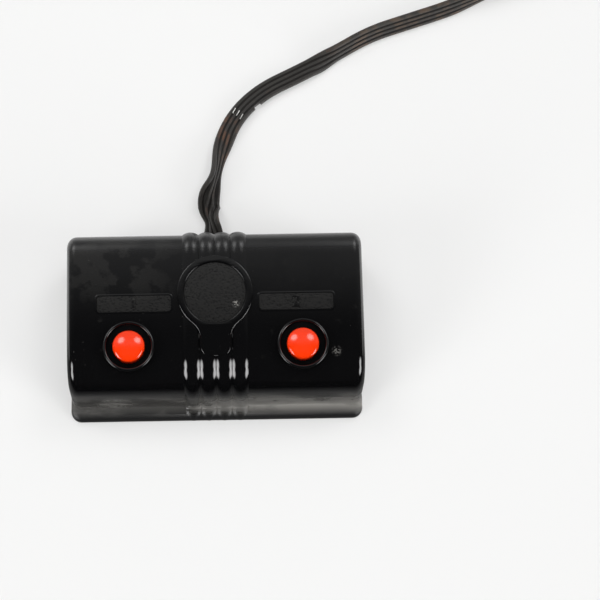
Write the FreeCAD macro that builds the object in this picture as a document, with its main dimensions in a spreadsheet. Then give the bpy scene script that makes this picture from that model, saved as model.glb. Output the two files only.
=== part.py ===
"""Two-button control station: a moulded case with a ribbon cable, as a parametric document.

Millimetres, +Z up, +Y to the rear (the cable's side), origin at the centre of the case's footprint.
"""
import FreeCAD, Part
import os
from math import cos, pi, radians, sin, sqrt, tan
from FreeCAD import Placement, Rotation, Vector
from Sketcher import Constraint

Y_AXIS = Vector(0, 1, 0)
Z_AXIS = Vector(0, 0, 1)
SIDES = {"left": -1, "right": 1}

SIZES = {
    # moulded case
    "case_width": 72.0, "overall_depth": 44.6, "case_height": 20.5, "wall": 1.8,
    "crown_radius": 170.0, "crown_centre_y": 20.3, "rear_radius": 4.5, "front_radius": 9.5,
    "front_lean": 11.0, "side_round": 2.4,
    # base flange
    "foot_step": 3.05, "flange_side": 0.3, "flange_height": 2.3, "flange_corner": 2.6, "flange_round": 1.6,
    # ribs
    "rib_pitch": 3.87, "rib_rise": 0.7, "rib_valley": 0.06, "rib_root": 0.6, "foot_fillet": 0.8,
    # keyhole pad and its disc
    "pad_radius": 9.15, "pad_y": 5.9, "pad_rise": 0.8, "neck_half": 3.6, "neck_reach": 15.1,
    "neck_fillet": 5.5, "neck_corner": 2.0, "disc_radius": 7.55, "disc_depth": 0.45,
    # label plaques
    "plaque_inset": 16.4, "plaque_y": 3.6, "plaque_length": 18.1, "plaque_height": 4.2,
    "plaque_corner": 0.8, "plaque_depth": 0.25,
    # buttons, their wells and guides
    "button_inset": 15.1, "button_y": -6.8, "button_rise": 0.3, "button_radius": 3.85,
    "button_fit": 0.08, "button_stand": 0.35, "dome_radius": 7.5, "travel": 1.5,
    "well_radius": 5.6, "well_floor_radius": 5.3, "well_depth": 0.9, "collar_stand": 0.1, "collar_rim": 0.28,
    "guide_radius": 6.0, "guide_depth": 4.6, "head_radius": 4.8, "head_thick": 1.0,
    "stop_gap": 0.05, "nub_radius": 1.2, "nub_length": 1.5,
    # base plate, insulating sheet and base screws
    "plate_z": 1.6, "plate_thick": 1.0, "plate_gap": 0.2, "plate_post_inset": 7.5, "plate_post_y": 12.5,
    "plate_post_radius": 3.0, "screw_radius": 1.2, "screw_length": 7.0, "screw_head_radius": 2.3,
    "screw_head_height": 1.2, "screw_gap": 0.05, "slot_width": 0.5, "slot_depth": 0.5,
    "sheet_thick": 0.25, "sheet_length": 50.0, "sheet_width": 21.0, "sheet_y": -4.5,
    # terminal board
    "board_drop": 14.3, "board_thick": 1.6, "board_inset": 6.0, "board_width": 18.0, "board_y": -3.0,
    "board_post_x": 13.5, "board_post_y": 2.6, "board_post_radius": 2.3,
    # contact blades and what they close on
    "blade_thick": 0.4, "blade_width": 5.0, "blade_y": -6.8, "blade_gap": 0.25, "bend_reach": 10.5,
    "bend_gap": 0.1, "bend_lift": 0.15, "knee_reach": 4.4, "blade_margin": 0.5, "foot_length": 6.0,
    "foot_rivet_reach": 3.2, "tip_reach": 1.7, "tip_radius": 1.1, "tip_height": 0.5, "tip_gap": 0.25,
    "anvil_radius": 1.3, "strip_margin": 0.7, "strip_rivet_reach": 3.6, "strip_end_reach": 2.0,
    "rivet_radius": 0.8, "rivet_head_radius": 1.5, "rivet_head_height": 0.4, "rivet_gap": 0.05,
    "lug_thick": 0.5, "lug_width": 3.6, "lug_length": 8.0, "lug_tail": 1.7,
    # ribbon cable where the case holds it
    "ribbon_width": 5.0, "ribbon_thick": 1.3, "ribbon_inner_y": 11.0, "notch_gap": 0.4,
    "strap_y": 14.5, "strap_depth": 4.0, "strap_thick": 0.6, "strap_reach": 7.6, "strap_gap": 0.1,
    "strap_rivet_x": 5.6, "lead_radius": 0.55,
    # ribbon cable lying free, as a round tube and a coil
    "cord_radius": 1.3, "coil_outer": 31.4, "coil_inner": 20.2, "coil_height": 5.2,
    "coil_x": 77.0, "coil_y": 125.5, "tie_angle": 200.0, "tie_width": 3.2, "tie_thick": 0.4,
    "end_lead_radius": 0.6, "end_lead_length": 14.0,
}

# Heights and places that several pieces share, worked out from the sizes.
DERIVED = {
    "rear_wall_y": "overall_depth / 2 - rib_rise",
    "flange_front": "overall_depth / 2 - rib_rise",
    "front_base_y": "flange_front - foot_step + flange_height * tan(front_lean)",
    "plate_top": "plate_z + plate_thick",
    "ribbon_z": "plate_top + sheet_thick + ribbon_thick / 2",
    "board_z": "case_height - board_drop",
    "board_top": "board_z + board_thick",
    "button_x": "case_width / 2 - button_inset",
    "plaque_x": "case_width / 2 - plaque_inset",
    "plate_post_x": "case_width / 2 - plate_post_inset",
    "bend_x": "button_x - bend_reach",
    "knee_x": "button_x - knee_reach",
    "foot_rivet_x": "bend_x - foot_rivet_reach",
    "tip_x": "button_x + tip_reach",
    "blade_end_x": "tip_x + tip_radius + blade_margin",
    "strip_start_x": "tip_x - anvil_radius - strip_margin",
    "strip_rivet_x": "tip_x + strip_rivet_reach",
    "strip_end_x": "strip_rivet_x + strip_end_reach",
    "well_rear": "crown_centre_y - button_y - well_radius",
    "button_z": ("button_rise + case_height - crown_radius"
                 " + sqrt(crown_radius * crown_radius - well_rear * well_rear)"),
    "head_top": "guide_depth + stop_gap",
    "nub_end": "head_top + head_thick + nub_length",
    "blade_top": "button_z - nub_end - blade_gap",
    "tip_fall": "travel * (tip_x - bend_x) / (button_x - bend_x)",
}

# The free cable's route, from the case's rear to the coil.
CABLE_ROUTE = [
    (0.0, 22.3, 3.5), (0.0, 28.2, 3.5), (-1.5, 34.5, 1.9), (0.6, 41.6, 1.35), (2.2, 50.0, 1.35),
    (6.0, 58.9, 1.35), (13.2, 65.9, 1.35), (22.8, 70.6, 1.35), (32.4, 75.6, 1.35), (42.2, 81.4, 1.35),
    (52.6, 84.8, 1.35), (62.6, 88.6, 1.35), (70.4, 91.9, 1.5), (77.6, 94.6, 2.2),
]

doc = FreeCAD.newDocument("ControlStation")
NODES = {}


# ---------------------------------------------------------------- spreadsheet and expressions

def make_sheet():
    """Put every driving dimension into the spreadsheet, one aliased row each."""
    sheet = doc.addObject("Spreadsheet::Sheet", "Size")
    for row, (alias, value) in enumerate(SIZES.items(), start=1):
        sheet.set("A%d" % row, alias)
        sheet.set("B%d" % row, str(value))
        sheet.setAlias("B%d" % row, alias)
    doc.recompute()
    return sheet


SHEET = make_sheet()


def cell(expression):
    """The expression with each alias as a reference to the spreadsheet and each shared place worked out."""
    parts = []
    word = ""
    for letter in str(expression) + " ":
        if letter.isalnum() or letter in "_.":
            word += letter
            continue
        if word in DERIVED:
            word = "(%s)" % cell(DERIVED[word])
        elif word in SIZES:
            word = "Size." + word
        parts.append(word)
        parts.append(letter)
        word = ""
    return "".join(parts).strip()


def value(expression):
    """What an expression on the driving dimensions comes to."""
    return float(SHEET.evalExpression(cell(expression)))


def bind(thing, **properties):
    """Bind properties to expressions; two underscores stand for a dot."""
    for name, expression in properties.items():
        thing.setExpression(name.replace("__", "."), cell(expression))
    return thing


def place(thing, x=0, y=0, z=0, axis=None, angle=0):
    """Bind a placement: a base point and, with an axis, a turn in degrees about it."""
    if axis is not None:
        thing.Placement = Placement(Vector(), Rotation(axis, 1))
        bind(thing, Placement__Rotation__Angle=angle)
    return bind(thing, Placement__Base__x=x, Placement__Base__y=y, Placement__Base__z=z)


# ---------------------------------------------------------------- solids and booleans

def add_box(name, x, y, z, length, width, height):
    """A box centred on x and y that stands on z."""
    block = bind(doc.addObject("Part::Box", name), Length=length, Width=width, Height=height)
    return place(block, f"{x} - ({length}) / 2", f"{y} - ({width}) / 2", z)


def add_cylinder(name, x, y, z, radius, height):
    """An upright cylinder that stands on z."""
    rod = bind(doc.addObject("Part::Cylinder", name), Radius=radius, Height=height)
    return place(rod, x, y, z)


def on_button_axis(thing, sign, along):
    """Put a solid on a button's upright axis, its base this far above the collar's foot level."""
    return place(thing, f"{sign} * button_x", "button_y", f"button_z + ({along})")


def button_cylinder(name, sign, start, radius, height):
    rod = bind(doc.addObject("Part::Cylinder", name), Radius=radius, Height=height)
    return on_button_axis(rod, sign, start)


def fuse(name, shapes):
    """Solids joined one after another."""
    joined = shapes[0]
    for number, shape in enumerate(shapes[1:], start=1):
        step = doc.addObject("Part::Fuse", "%s_%d" % (name, number))
        step.Base = joined
        step.Tool = shape
        step.Refine = False
        joined = step
    return joined


def common(name, base, tool):
    shared = doc.addObject("Part::Common", name)
    shared.Base = base
    shared.Tool = tool
    shared.Refine = False
    return shared


def cut(name, base, tools):
    """The base without the tools, cut one after another."""
    left = base
    for number, tool in enumerate(tools, start=1):
        step = doc.addObject("Part::Cut", "%s_%d" % (name, number))
        step.Base = left
        step.Tool = tool
        step.Refine = False
        left = step
    return left


def group(name, solids):
    """Like solids that share one node."""
    compound = doc.addObject("Part::Compound", name)
    compound.Links = solids
    return compound


def shape_feature(name, shape):
    feature = doc.addObject("Part::Feature", name)
    feature.Shape = shape
    return feature


def node(name, thing):
    """Name a finished sub-part; its label is its file's name."""
    thing.Label = name
    NODES[name] = thing
    return thing


# ---------------------------------------------------------------- bodies from sketches

def new_sketch(body, name, role):
    sketch = body.newObject("Sketcher::SketchObject", name)
    plane = next(feature for feature in body.Origin.OriginFeatures if feature.Role == role)
    sketch.AttachmentSupport = (plane, [""])
    sketch.MapMode = "FlatFace"
    return sketch


def dimension(sketch, constraint, name, expression):
    """Add a dimension to a sketch and bind it."""
    index = sketch.addConstraint(constraint)
    sketch.renameConstraint(index, name)
    sketch.setExpression("Constraints." + name, cell(expression))


def add_polygon(sketch, corners):
    """A closed outline of straight lines, each corner a pair of expressions."""
    values = [Vector(value(u), value(v), 0) for u, v in corners]
    for start, end in zip(values, values[1:] + values[:1]):
        sketch.addGeometry(Part.LineSegment(start, end), False)
    for index in range(len(corners)):
        sketch.addConstraint(Constraint("Coincident", index, 2, (index + 1) % len(corners), 1))
    for index, (u, v) in enumerate(corners):
        at = values[index]
        dimension(sketch, Constraint("DistanceX", -1, 1, index, 1, at.x), "u%d" % index, u)
        dimension(sketch, Constraint("DistanceY", -1, 1, index, 1, at.y), "v%d" % index, v)


def add_pad(body, name, sketch, length, midplane):
    pad = body.newObject("PartDesign::Pad", name)
    pad.Profile = sketch
    pad.Midplane = midplane
    bind(pad, Length=length)
    doc.recompute()
    return pad


def add_fillet(body, name, base, radius, wanted):
    """Round the edges of a feature that a test on the edge picks."""
    names = ["Edge%d" % number for number, edge in enumerate(base.Shape.Edges, start=1) if wanted(edge)]
    fillet = body.newObject("PartDesign::Fillet", name)
    fillet.Base = (base, names)
    bind(fillet, Radius=radius)
    doc.recompute()
    return fillet


def is_upright(edge):
    ends = [vertex.Point for vertex in edge.Vertexes]
    return len(ends) == 2 and (ends[0] - ends[1]).cross(Z_AXIS).Length < 1e-6


def polygon_body(name, role, corners, length, midplane=True):
    body = doc.addObject("PartDesign::Body", name)
    sketch = new_sketch(body, name + "_outline", role)
    add_polygon(sketch, corners)
    add_pad(body, name + "_pad", sketch, length, midplane)
    return body


def rectangle(x, y, length, width):
    """The corners of a rectangle centred on x and y."""
    signs = [(-1, -1), (1, -1), (1, 1), (-1, 1)]
    return [(f"{x} + {a} * ({length}) / 2", f"{y} + {b} * ({width}) / 2") for a, b in signs]


def rounded_block(name, x, y, length, width, height, corner):
    """An upright block on z 0 with rounded upright edges."""
    body = polygon_body(name, "XY_Plane", rectangle(x, y, length, width), height, midplane=False)
    add_fillet(body, name + "_corners", body.Tip, corner, is_upright)
    return body


# ---------------------------------------------------------------- the case's side outline

def outline(grow=0.0):
    """Centres and ends of the side outline's lines and arcs, (y, z), grown outwards by a distance."""
    wall_y = value("rear_wall_y")
    lean = radians(value("front_lean"))
    crown_r, rear_r, front_r = value("crown_radius"), value("rear_radius"), value("front_radius")
    crown = Vector(value("crown_centre_y"), value("case_height") - crown_r, 0)
    outward = Vector(-cos(lean), sin(lean), 0)
    up_wall = Vector(sin(lean), cos(lean), 0)
    base = Vector(-value("front_base_y"), 0, 0)
    start = base - outward * front_r
    gap = start - crown
    along = gap.dot(up_wall)
    rise = -along + sqrt(along * along - gap.dot(gap) + (crown_r - front_r) ** 2)
    front = start + up_wall * rise
    rear_y = wall_y - rear_r
    rear = Vector(rear_y, crown.y + sqrt((crown_r - rear_r) ** 2 - (rear_y - crown.x) ** 2), 0)
    to_rear = (rear - crown).normalize()
    to_front = (front - crown).normalize()
    return {
        "rear_base": Vector(wall_y + grow, 0, 0),
        "rear_top": Vector(wall_y + grow, rear.y, 0),
        "rear_centre": rear,
        "crown_rear": crown + to_rear * (crown_r + grow),
        "crown_centre": crown,
        "crown_front": crown + to_front * (crown_r + grow),
        "front_centre": front,
        "front_top": front + outward * (front_r + grow),
        "front_base": base - Vector(grow / cos(lean), 0, 0),
        "outward": outward,
        "up_wall": up_wall,
    }


def arc_through(centre, start, end):
    """The shorter arc about a centre from start to end."""
    radius = (start - centre).Length
    middle = centre + ((start - centre).normalize() + (end - centre).normalize()).normalize() * radius
    return Part.Arc(start, middle, end)


def add_outline(sketch, grow):
    """The side outline as tangent lines and arcs, bound to the sizes."""
    at = outline(value(grow))
    rear_base, rear_top = at["rear_base"], at["rear_top"]
    pieces = [
        Part.LineSegment(at["front_base"], rear_base),
        Part.LineSegment(rear_base, rear_top),
        arc_through(at["rear_centre"], rear_top, at["crown_rear"]),
        arc_through(at["crown_centre"], at["crown_rear"], at["crown_front"]),
        arc_through(at["front_centre"], at["crown_front"], at["front_top"]),
        Part.LineSegment(at["front_base"], at["front_top"]),
    ]
    floor, rear_wall, rear_arc, crown_arc, front_arc, front_wall = range(len(pieces))
    for piece in pieces:
        sketch.addGeometry(piece, False)
    for constraint in [
        Constraint("Coincident", floor, 1, front_wall, 1),
        Constraint("Coincident", floor, 2, rear_wall, 1),
        Constraint("PointOnObject", floor, 1, -1),
        Constraint("PointOnObject", floor, 2, -1),
        Constraint("Vertical", rear_wall),
        Constraint("Tangent", rear_wall, 2, rear_arc, 1),
        Constraint("Tangent", rear_arc, 2, crown_arc, 1),
        Constraint("Tangent", crown_arc, 2, front_arc, 1),
        Constraint("Tangent", front_arc, 2, front_wall, 2),
    ]:
        sketch.addConstraint(constraint)
    crown = at["crown_centre"]
    lean = value("90 - front_lean")
    dimension(sketch, Constraint("DistanceX", -1, 1, floor, 2, rear_base.x), "wall_y", f"rear_wall_y + {grow}")
    dimension(sketch, Constraint("DistanceX", floor, 1, -1, 1, -at["front_base"].x), "front_base",
              f"front_base_y + ({grow}) / cos(front_lean)")
    dimension(sketch, Constraint("Angle", front_wall, radians(lean)), "front_slope", "90 - front_lean")
    dimension(sketch, Constraint("DistanceX", -1, 1, crown_arc, 3, crown.x), "crown_y", "crown_centre_y")
    dimension(sketch, Constraint("DistanceY", crown_arc, 3, -1, 1, -crown.y), "crown_z",
              "crown_radius - case_height")
    dimension(sketch, Constraint("Radius", crown_arc, value(f"crown_radius + {grow}")), "crown_r",
              f"crown_radius + {grow}")
    dimension(sketch, Constraint("Radius", rear_arc, value(f"rear_radius + {grow}")), "rear_r",
              f"rear_radius + {grow}")
    dimension(sketch, Constraint("Radius", front_arc, value(f"front_radius + {grow}")), "front_r",
              f"front_radius + {grow}")


def outline_body(name, grow, width):
    """The side outline, grown by a distance, as a solid this wide."""
    body = doc.addObject("PartDesign::Body", name)
    sketch = new_sketch(body, name + "_side", "YZ_Plane")
    add_outline(sketch, grow)
    add_pad(body, name + "_pad", sketch, width, True)
    return body


# ---------------------------------------------------------------- moulded case

def case_block():
    """The outer block, its two ends rounded into the sides."""
    block = outline_body("case_block", "0", "case_width")
    half = value("case_width / 2")

    def at_an_end(edge):
        box = edge.BoundBox
        return box.XLength < 1e-6 and abs(abs(box.XMin) - half) < 1e-6 and box.ZMax > 1e-6

    add_fillet(block, "case_ends", block.Tip, "side_round", at_an_end)
    return block


def base_flange():
    """The low flange round the foot, rounded along its top edge."""
    length = "(case_width + 2 * flange_side)"
    width = "(rear_wall_y + flange_front + flange_side)"
    flange = rounded_block("flange_block", "0", "flange_side / 2", length, width, "flange_height",
                           "flange_corner")
    top = value("flange_height")

    def along_the_top(edge):
        return edge.BoundBox.ZMin > top - 1e-6

    add_fillet(flange, "flange_top", flange.Tip, "flange_round", along_the_top)
    return flange


def rib_path():
    """The line that the ribs follow: up the rear, over the top, down the front and over the flange."""
    at = outline()
    fillet, rounding, top = value("foot_fillet"), value("flange_round"), value("flange_height")
    outward, up_wall = at["outward"], at["up_wall"]
    face = -value("flange_front")
    climb = (top + fillet - fillet * outward.y) / up_wall.y
    hollow = at["front_base"] + outward * fillet + up_wall * climb
    wall_foot = hollow - outward * fillet
    step = Vector(hollow.x, top, 0)
    corner = Vector(face + rounding, top - rounding, 0)
    edge_top = corner + Vector(0, rounding, 0)
    edge_front = corner - Vector(rounding, 0, 0)
    flat = [
        Part.LineSegment(at["rear_base"], at["rear_top"]),
        arc_through(at["rear_centre"], at["rear_top"], at["crown_rear"]),
        arc_through(at["crown_centre"], at["crown_rear"], at["crown_front"]),
        arc_through(at["front_centre"], at["crown_front"], at["front_top"]),
        Part.LineSegment(at["front_top"], wall_foot),
        arc_through(hollow, wall_foot, step),
        Part.LineSegment(step, edge_top),
        arc_through(corner, edge_top, edge_front),
        Part.LineSegment(edge_front, Vector(face, 0, 0)),
    ]
    to_side = FreeCAD.Matrix(0, 0, 1, 0, 1, 0, 0, 0, 0, 1, 0, 0, 0, 0, 0, 1)
    return Part.Wire([piece.toShape().transformGeometry(to_side) for piece in flat])


def rib_band():
    """Four half-round ribs side by side, swept along the rib path."""
    pitch = value("rib_pitch")
    valley = value("rear_wall_y + rib_valley")
    crest = value("rear_wall_y + rib_rise")
    inner = value("rear_wall_y - rib_root")
    edges = []
    for rib in range(4):
        left = (rib - 2) * pitch
        ends = [Vector(left, valley, 0), Vector(left + pitch, valley, 0)]
        edges.append(Part.Arc(ends[0], Vector(left + pitch / 2, crest, 0), ends[1]).toShape())
    half = 2 * pitch
    corners = [Vector(x, y, 0) for x, y in ((half, valley), (half, inner), (-half, inner), (-half, valley))]
    edges += [Part.LineSegment(a, b).toShape() for a, b in zip(corners, corners[1:])]
    return shape_feature("rib_band", rib_path().makePipeShell([Part.Wire(edges)], True, False))


def keyhole_prism():
    """The upright prism of the keyhole pad: a round head and a tongue towards the front."""
    body = doc.addObject("PartDesign::Body", "keyhole_prism")
    head = new_sketch(body, "keyhole_head", "XY_Plane")
    head.addGeometry(Part.Circle(Vector(0, value("pad_y"), 0), Z_AXIS, value("pad_radius")), False)
    head.addConstraint(Constraint("PointOnObject", 0, 3, -2))
    dimension(head, Constraint("DistanceY", -1, 1, 0, 3, value("pad_y")), "pad_y", "pad_y")
    dimension(head, Constraint("Radius", 0, value("pad_radius")), "pad_radius", "pad_radius")
    add_pad(body, "keyhole_head_pad", head, "2 * case_height", False)
    tongue = new_sketch(body, "keyhole_tongue", "XY_Plane")
    add_polygon(tongue, rectangle("0", "pad_y - neck_reach / 2", "2 * neck_half", "neck_reach"))
    pad = add_pad(body, "keyhole_tongue_pad", tongue, "2 * case_height", False)
    front = value("pad_y - neck_reach")
    joint = value("pad_y - sqrt(pad_radius * pad_radius - neck_half * neck_half)")

    def upright_at(y):
        return lambda edge: is_upright(edge) and abs(edge.CenterOfMass.y - y) < 1e-3

    flared = add_fillet(body, "keyhole_flare", pad, "neck_fillet", upright_at(joint))
    add_fillet(body, "keyhole_end", flared, "neck_corner", upright_at(front))
    return body


def layer_above(name, prism, depth_expression):
    """The part of a prism that lies above the side outline grown by a distance."""
    return cut(name, prism, [outline_body(name + "_under", depth_expression, "2 * case_width")])


def collar(side, sign):
    """The ring that stands round a button's well."""
    ring = button_cylinder(side + "_collar_wall", sign, "-guide_depth", "well_radius + 2 * collar_rim",
                           "guide_depth + collar_stand")
    rim = bind(doc.addObject("Part::Torus", side + "_collar_rim"), Radius1="well_radius + collar_rim",
               Radius2="collar_rim")
    return [ring, on_button_axis(rim, sign, "collar_stand")]


def well_tools(side, sign):
    """What is cut for a button: the dished well and the bore through its guide."""
    dish = bind(doc.addObject("Part::Cone", side + "_well"), Radius1="well_floor_radius",
                Radius2="well_radius", Height="well_depth + collar_stand")
    on_button_axis(dish, sign, "-well_depth")
    bore = button_cylinder(side + "_bore", sign, "-guide_depth - wall", "button_radius + button_fit",
                           "guide_depth + 2 * wall")
    return [dish, bore]


def plaque_recess(side, sign):
    """The shallow recess of a label plaque, its floor as curved as the case's top."""
    prism = rounded_block(side + "_plaque_prism", f"{sign} * plaque_x", "plaque_y", "plaque_length",
                          "plaque_height", "2 * case_height", "plaque_corner")
    return layer_above(side + "_plaque_recess", prism, "-plaque_depth")


def case_shell():
    """The moulding: one hollow shell with its ribs, pad, collars, posts and guides."""
    sides = SIDES.items()
    pad = common("keyhole_pad", keyhole_prism(), outline_body("pad_layer", "pad_rise", "case_width"))
    collars = [piece for side, sign in sides for piece in collar(side, sign)]
    outside = fuse("case_outside", [case_block(), base_flange(), rib_band(), pad] + collars)
    hollow = outline_body("case_hollow", "-wall", "case_width - 2 * wall")
    walls = cut("case_walls", outside, [hollow])
    bosses = []
    tools = []
    for side, sign in sides:
        bosses.append(button_cylinder(side + "_guide", sign, "-guide_depth", "guide_radius", "guide_depth"))
        tools.append(plaque_recess(side, sign))
        tools += well_tools(side, sign)
        for part, foot in (("plate", "plate_top"), ("board", "board_top")):
            x = f"{sign} * {part}_post_x"
            y = f"{part}_post_y"
            bosses.append(add_cylinder(f"{side}_{part}_post", x, y, foot, part + "_post_radius",
                                       f"case_height - {foot}"))
            tools.append(add_cylinder(f"{side}_{part}_pilot", x, y, foot, "screw_radius + screw_gap",
                                      "screw_length"))
    limit = outline_body("boss_limit", "-wall / 2", "case_width")
    body = fuse("case_body", [walls, common("case_bosses", fuse("boss_blanks", bosses), limit)])
    disc = add_cylinder("disc_prism", "0", "pad_y", "0", "disc_radius", "2 * case_height")
    tools.append(layer_above("disc_recess", disc, "pad_rise - disc_depth"))
    tools.append(add_box("cable_notch", "0", "rear_wall_y", "plate_top", "ribbon_width + 2 * notch_gap",
                         "4 * wall", "sheet_thick + ribbon_thick + notch_gap"))
    node("case_shell", cut("case_shell", body, tools))


# ---------------------------------------------------------------- buttons

def button(side, sign):
    """A domed cap on a stem, with a head that stops under the guide and a nub that presses the blade."""
    reach = "(guide_depth + stop_gap + dome_radius)"
    cap = button_cylinder(side + "_cap_blank", sign, "-guide_depth - stop_gap", "button_radius", reach)
    ball = bind(doc.addObject("Part::Sphere", side + "_dome_ball"), Radius="dome_radius")
    on_button_axis(ball, sign, "button_stand - sqrt(dome_radius * dome_radius - button_radius * button_radius)")
    head = button_cylinder(side + "_head", sign, "-head_top - head_thick", "head_radius", "head_thick")
    stem = button_cylinder(side + "_nub_stem", sign, "-nub_end + nub_radius", "nub_radius",
                           "nub_length - nub_radius")
    tip = bind(doc.addObject("Part::Sphere", side + "_nub_tip"), Radius="nub_radius")
    on_button_axis(tip, sign, "-nub_end + nub_radius")
    node(side + "_button", fuse(side + "_button", [common(side + "_cap", cap, ball), head, stem, tip]))


# ---------------------------------------------------------------- base plate and fasteners

def slotted_screw(name, x, y, seat):
    """A screw driven upwards: its head hangs below the seat and has a slot."""
    head = add_cylinder(name + "_head", x, y, f"{seat} - screw_head_height", "screw_head_radius",
                        "screw_head_height")
    shank = add_cylinder(name + "_shank", x, y, seat, "screw_radius", "screw_length - 2 * screw_gap")
    slot = add_box(name + "_slot", x, y, f"{seat} - screw_head_height", "3 * screw_head_radius", "slot_width",
                   "slot_depth")
    return cut(name, fuse(name + "_blank", [head, shank]), [slot])


def base_plate():
    """The plate that closes the case from below, let in so that the case's rim stands on the table."""
    front = "(front_base_y - wall / cos(front_lean) - plate_gap - plate_top * tan(front_lean))"
    rear = "(rear_wall_y - wall - plate_gap)"
    blank = add_box("plate_blank", "0", f"({rear} - {front}) / 2", "plate_z",
                    "case_width - 2 * wall - 2 * plate_gap", f"{rear} + {front}", "plate_thick")
    holes = []
    for side, sign in SIDES.items():
        holes.append(add_cylinder(side + "_plate_hole", f"{sign} * plate_post_x", "plate_post_y", "plate_z",
                                  "screw_radius + 2 * screw_gap", "plate_thick"))
        holes.append(add_cylinder(side + "_strap_hole", f"{sign} * strap_rivet_x", "strap_y", "plate_z",
                                  "rivet_radius + rivet_gap", "plate_thick"))
    node("base_plate", cut("base_plate", blank, holes))
    screws = [slotted_screw(side + "_plate_screw", f"{sign} * plate_post_x", "plate_post_y", "plate_z")
              for side, sign in SIDES.items()]
    node("base_screws", group("base_screws", screws))
    node("insulating_sheet", add_box("insulating_sheet", "0", "sheet_y", "plate_top", "sheet_length",
                                     "sheet_width", "sheet_thick"))


# ---------------------------------------------------------------- terminal board and contacts

def rivet(name, x, y, low, high):
    """A rivet that clamps what lies between two heights."""
    shank = add_cylinder(name + "_shank", x, y, low, "rivet_radius", f"{high} - {low}")
    top = add_cylinder(name + "_top", x, y, high, "rivet_head_radius", "rivet_head_height")
    bottom = add_cylinder(name + "_bottom", x, y, f"{low} - rivet_head_height", "rivet_head_radius",
                          "rivet_head_height")
    return fuse(name, [shank, top, bottom])


def terminal_board():
    blank = add_box("board_blank", "0", "board_y", "board_z", "case_width - 2 * board_inset", "board_width",
                    "board_thick")
    holes = []
    screws = []
    for side, sign in SIDES.items():
        x = f"{sign} * board_post_x"
        holes.append(add_cylinder(side + "_board_hole", x, "board_post_y", "board_z",
                                  "screw_radius + 2 * screw_gap", "board_thick"))
        for part in ("foot", "strip"):
            holes.append(add_cylinder(f"{side}_{part}_hole", f"{sign} * {part}_rivet_x", "blade_y", "board_z",
                                      "rivet_radius + rivet_gap", "board_thick"))
        screws.append(slotted_screw(side + "_board_screw", x, "board_post_y", "board_z"))
    node("terminal_board", cut("terminal_board", blank, holes))
    node("board_screws", group("board_screws", screws))


def drilled_strip(name, side, sign, start, end, rivet_x):
    """A flat strip on the board, from one distance off centre to another, with a rivet hole."""
    blank = add_box(name + "_blank", f"{sign} * ({start} + {end}) / 2", "blade_y", "board_top",
                    f"{end} - {start}", "blade_width", "blade_thick")
    hole = add_cylinder(name + "_hole", f"{sign} * {rivet_x}", "blade_y", "board_top",
                        "rivet_radius + rivet_gap", "blade_thick")
    node(name, cut(name, blank, [hole]))


def contact_set(side, sign):
    """One side's blade, its clamped foot, the contact under its free end and the fixed contact below that."""
    foot_end = "(bend_x - bend_gap / 2)"
    drilled_strip(side + "_blade_foot", side, sign, f"({foot_end} - foot_length)", foot_end, "foot_rivet_x")
    drilled_strip(side + "_fixed_strip", side, sign, "strip_start_x", "strip_end_x", "strip_rivet_x")
    low = "(board_top + bend_lift)"
    flat = "(blade_top - blade_thick)"
    line = [("(bend_x + bend_gap / 2)", low), ("knee_x", flat), ("blade_end_x", flat)]
    under = [(f"{sign} * {x}", z) for x, z in line]
    over = [(x, f"{z} + blade_thick") for x, z in reversed(under)]
    blade = polygon_body(side + "_contact_blade", "XZ_Plane", under + over, "blade_width")
    node(side + "_contact_blade", place(blade, y="blade_y"))
    tip_foot = f"({flat} - tip_height)"
    tip_x = f"{sign} * tip_x"
    tip = add_cylinder(side + "_moving_contact", tip_x, "blade_y", tip_foot, "tip_radius", "tip_height")
    node(side + "_moving_contact", tip)
    seat = "(board_top + blade_thick)"
    anvil = add_cylinder(side + "_fixed_contact", tip_x, "blade_y", seat, "anvil_radius",
                         f"{tip_foot} - tip_fall - tip_gap - {seat}")
    node(side + "_fixed_contact", anvil)


def rivets_and_lugs():
    """The rivets through the board and the solder lugs that they clamp below it."""
    lugs = []
    for part in ("foot", "strip"):
        rivets = []
        for side, sign in SIDES.items():
            x = f"{sign} * {part}_rivet_x"
            name = f"{side}_{part}"
            rivets.append(rivet(name + "_rivet", x, "blade_y", "(board_z - lug_thick)",
                                "(board_top + blade_thick)"))
            middle = "blade_y - lug_tail + lug_length / 2"
            blank = add_box(name + "_lug_blank", x, middle, "board_z - lug_thick", "lug_width", "lug_length",
                            "lug_thick")
            hole = add_cylinder(name + "_lug_hole", x, "blade_y", "board_z - lug_thick",
                                "rivet_radius + rivet_gap", "lug_thick")
            lugs.append(cut(name + "_lug", blank, [hole]))
        node(part + "_rivets", group(part + "_rivets", rivets))
    node("solder_lugs", group("solder_lugs", lugs))


# ---------------------------------------------------------------- cable inside the case

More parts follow.
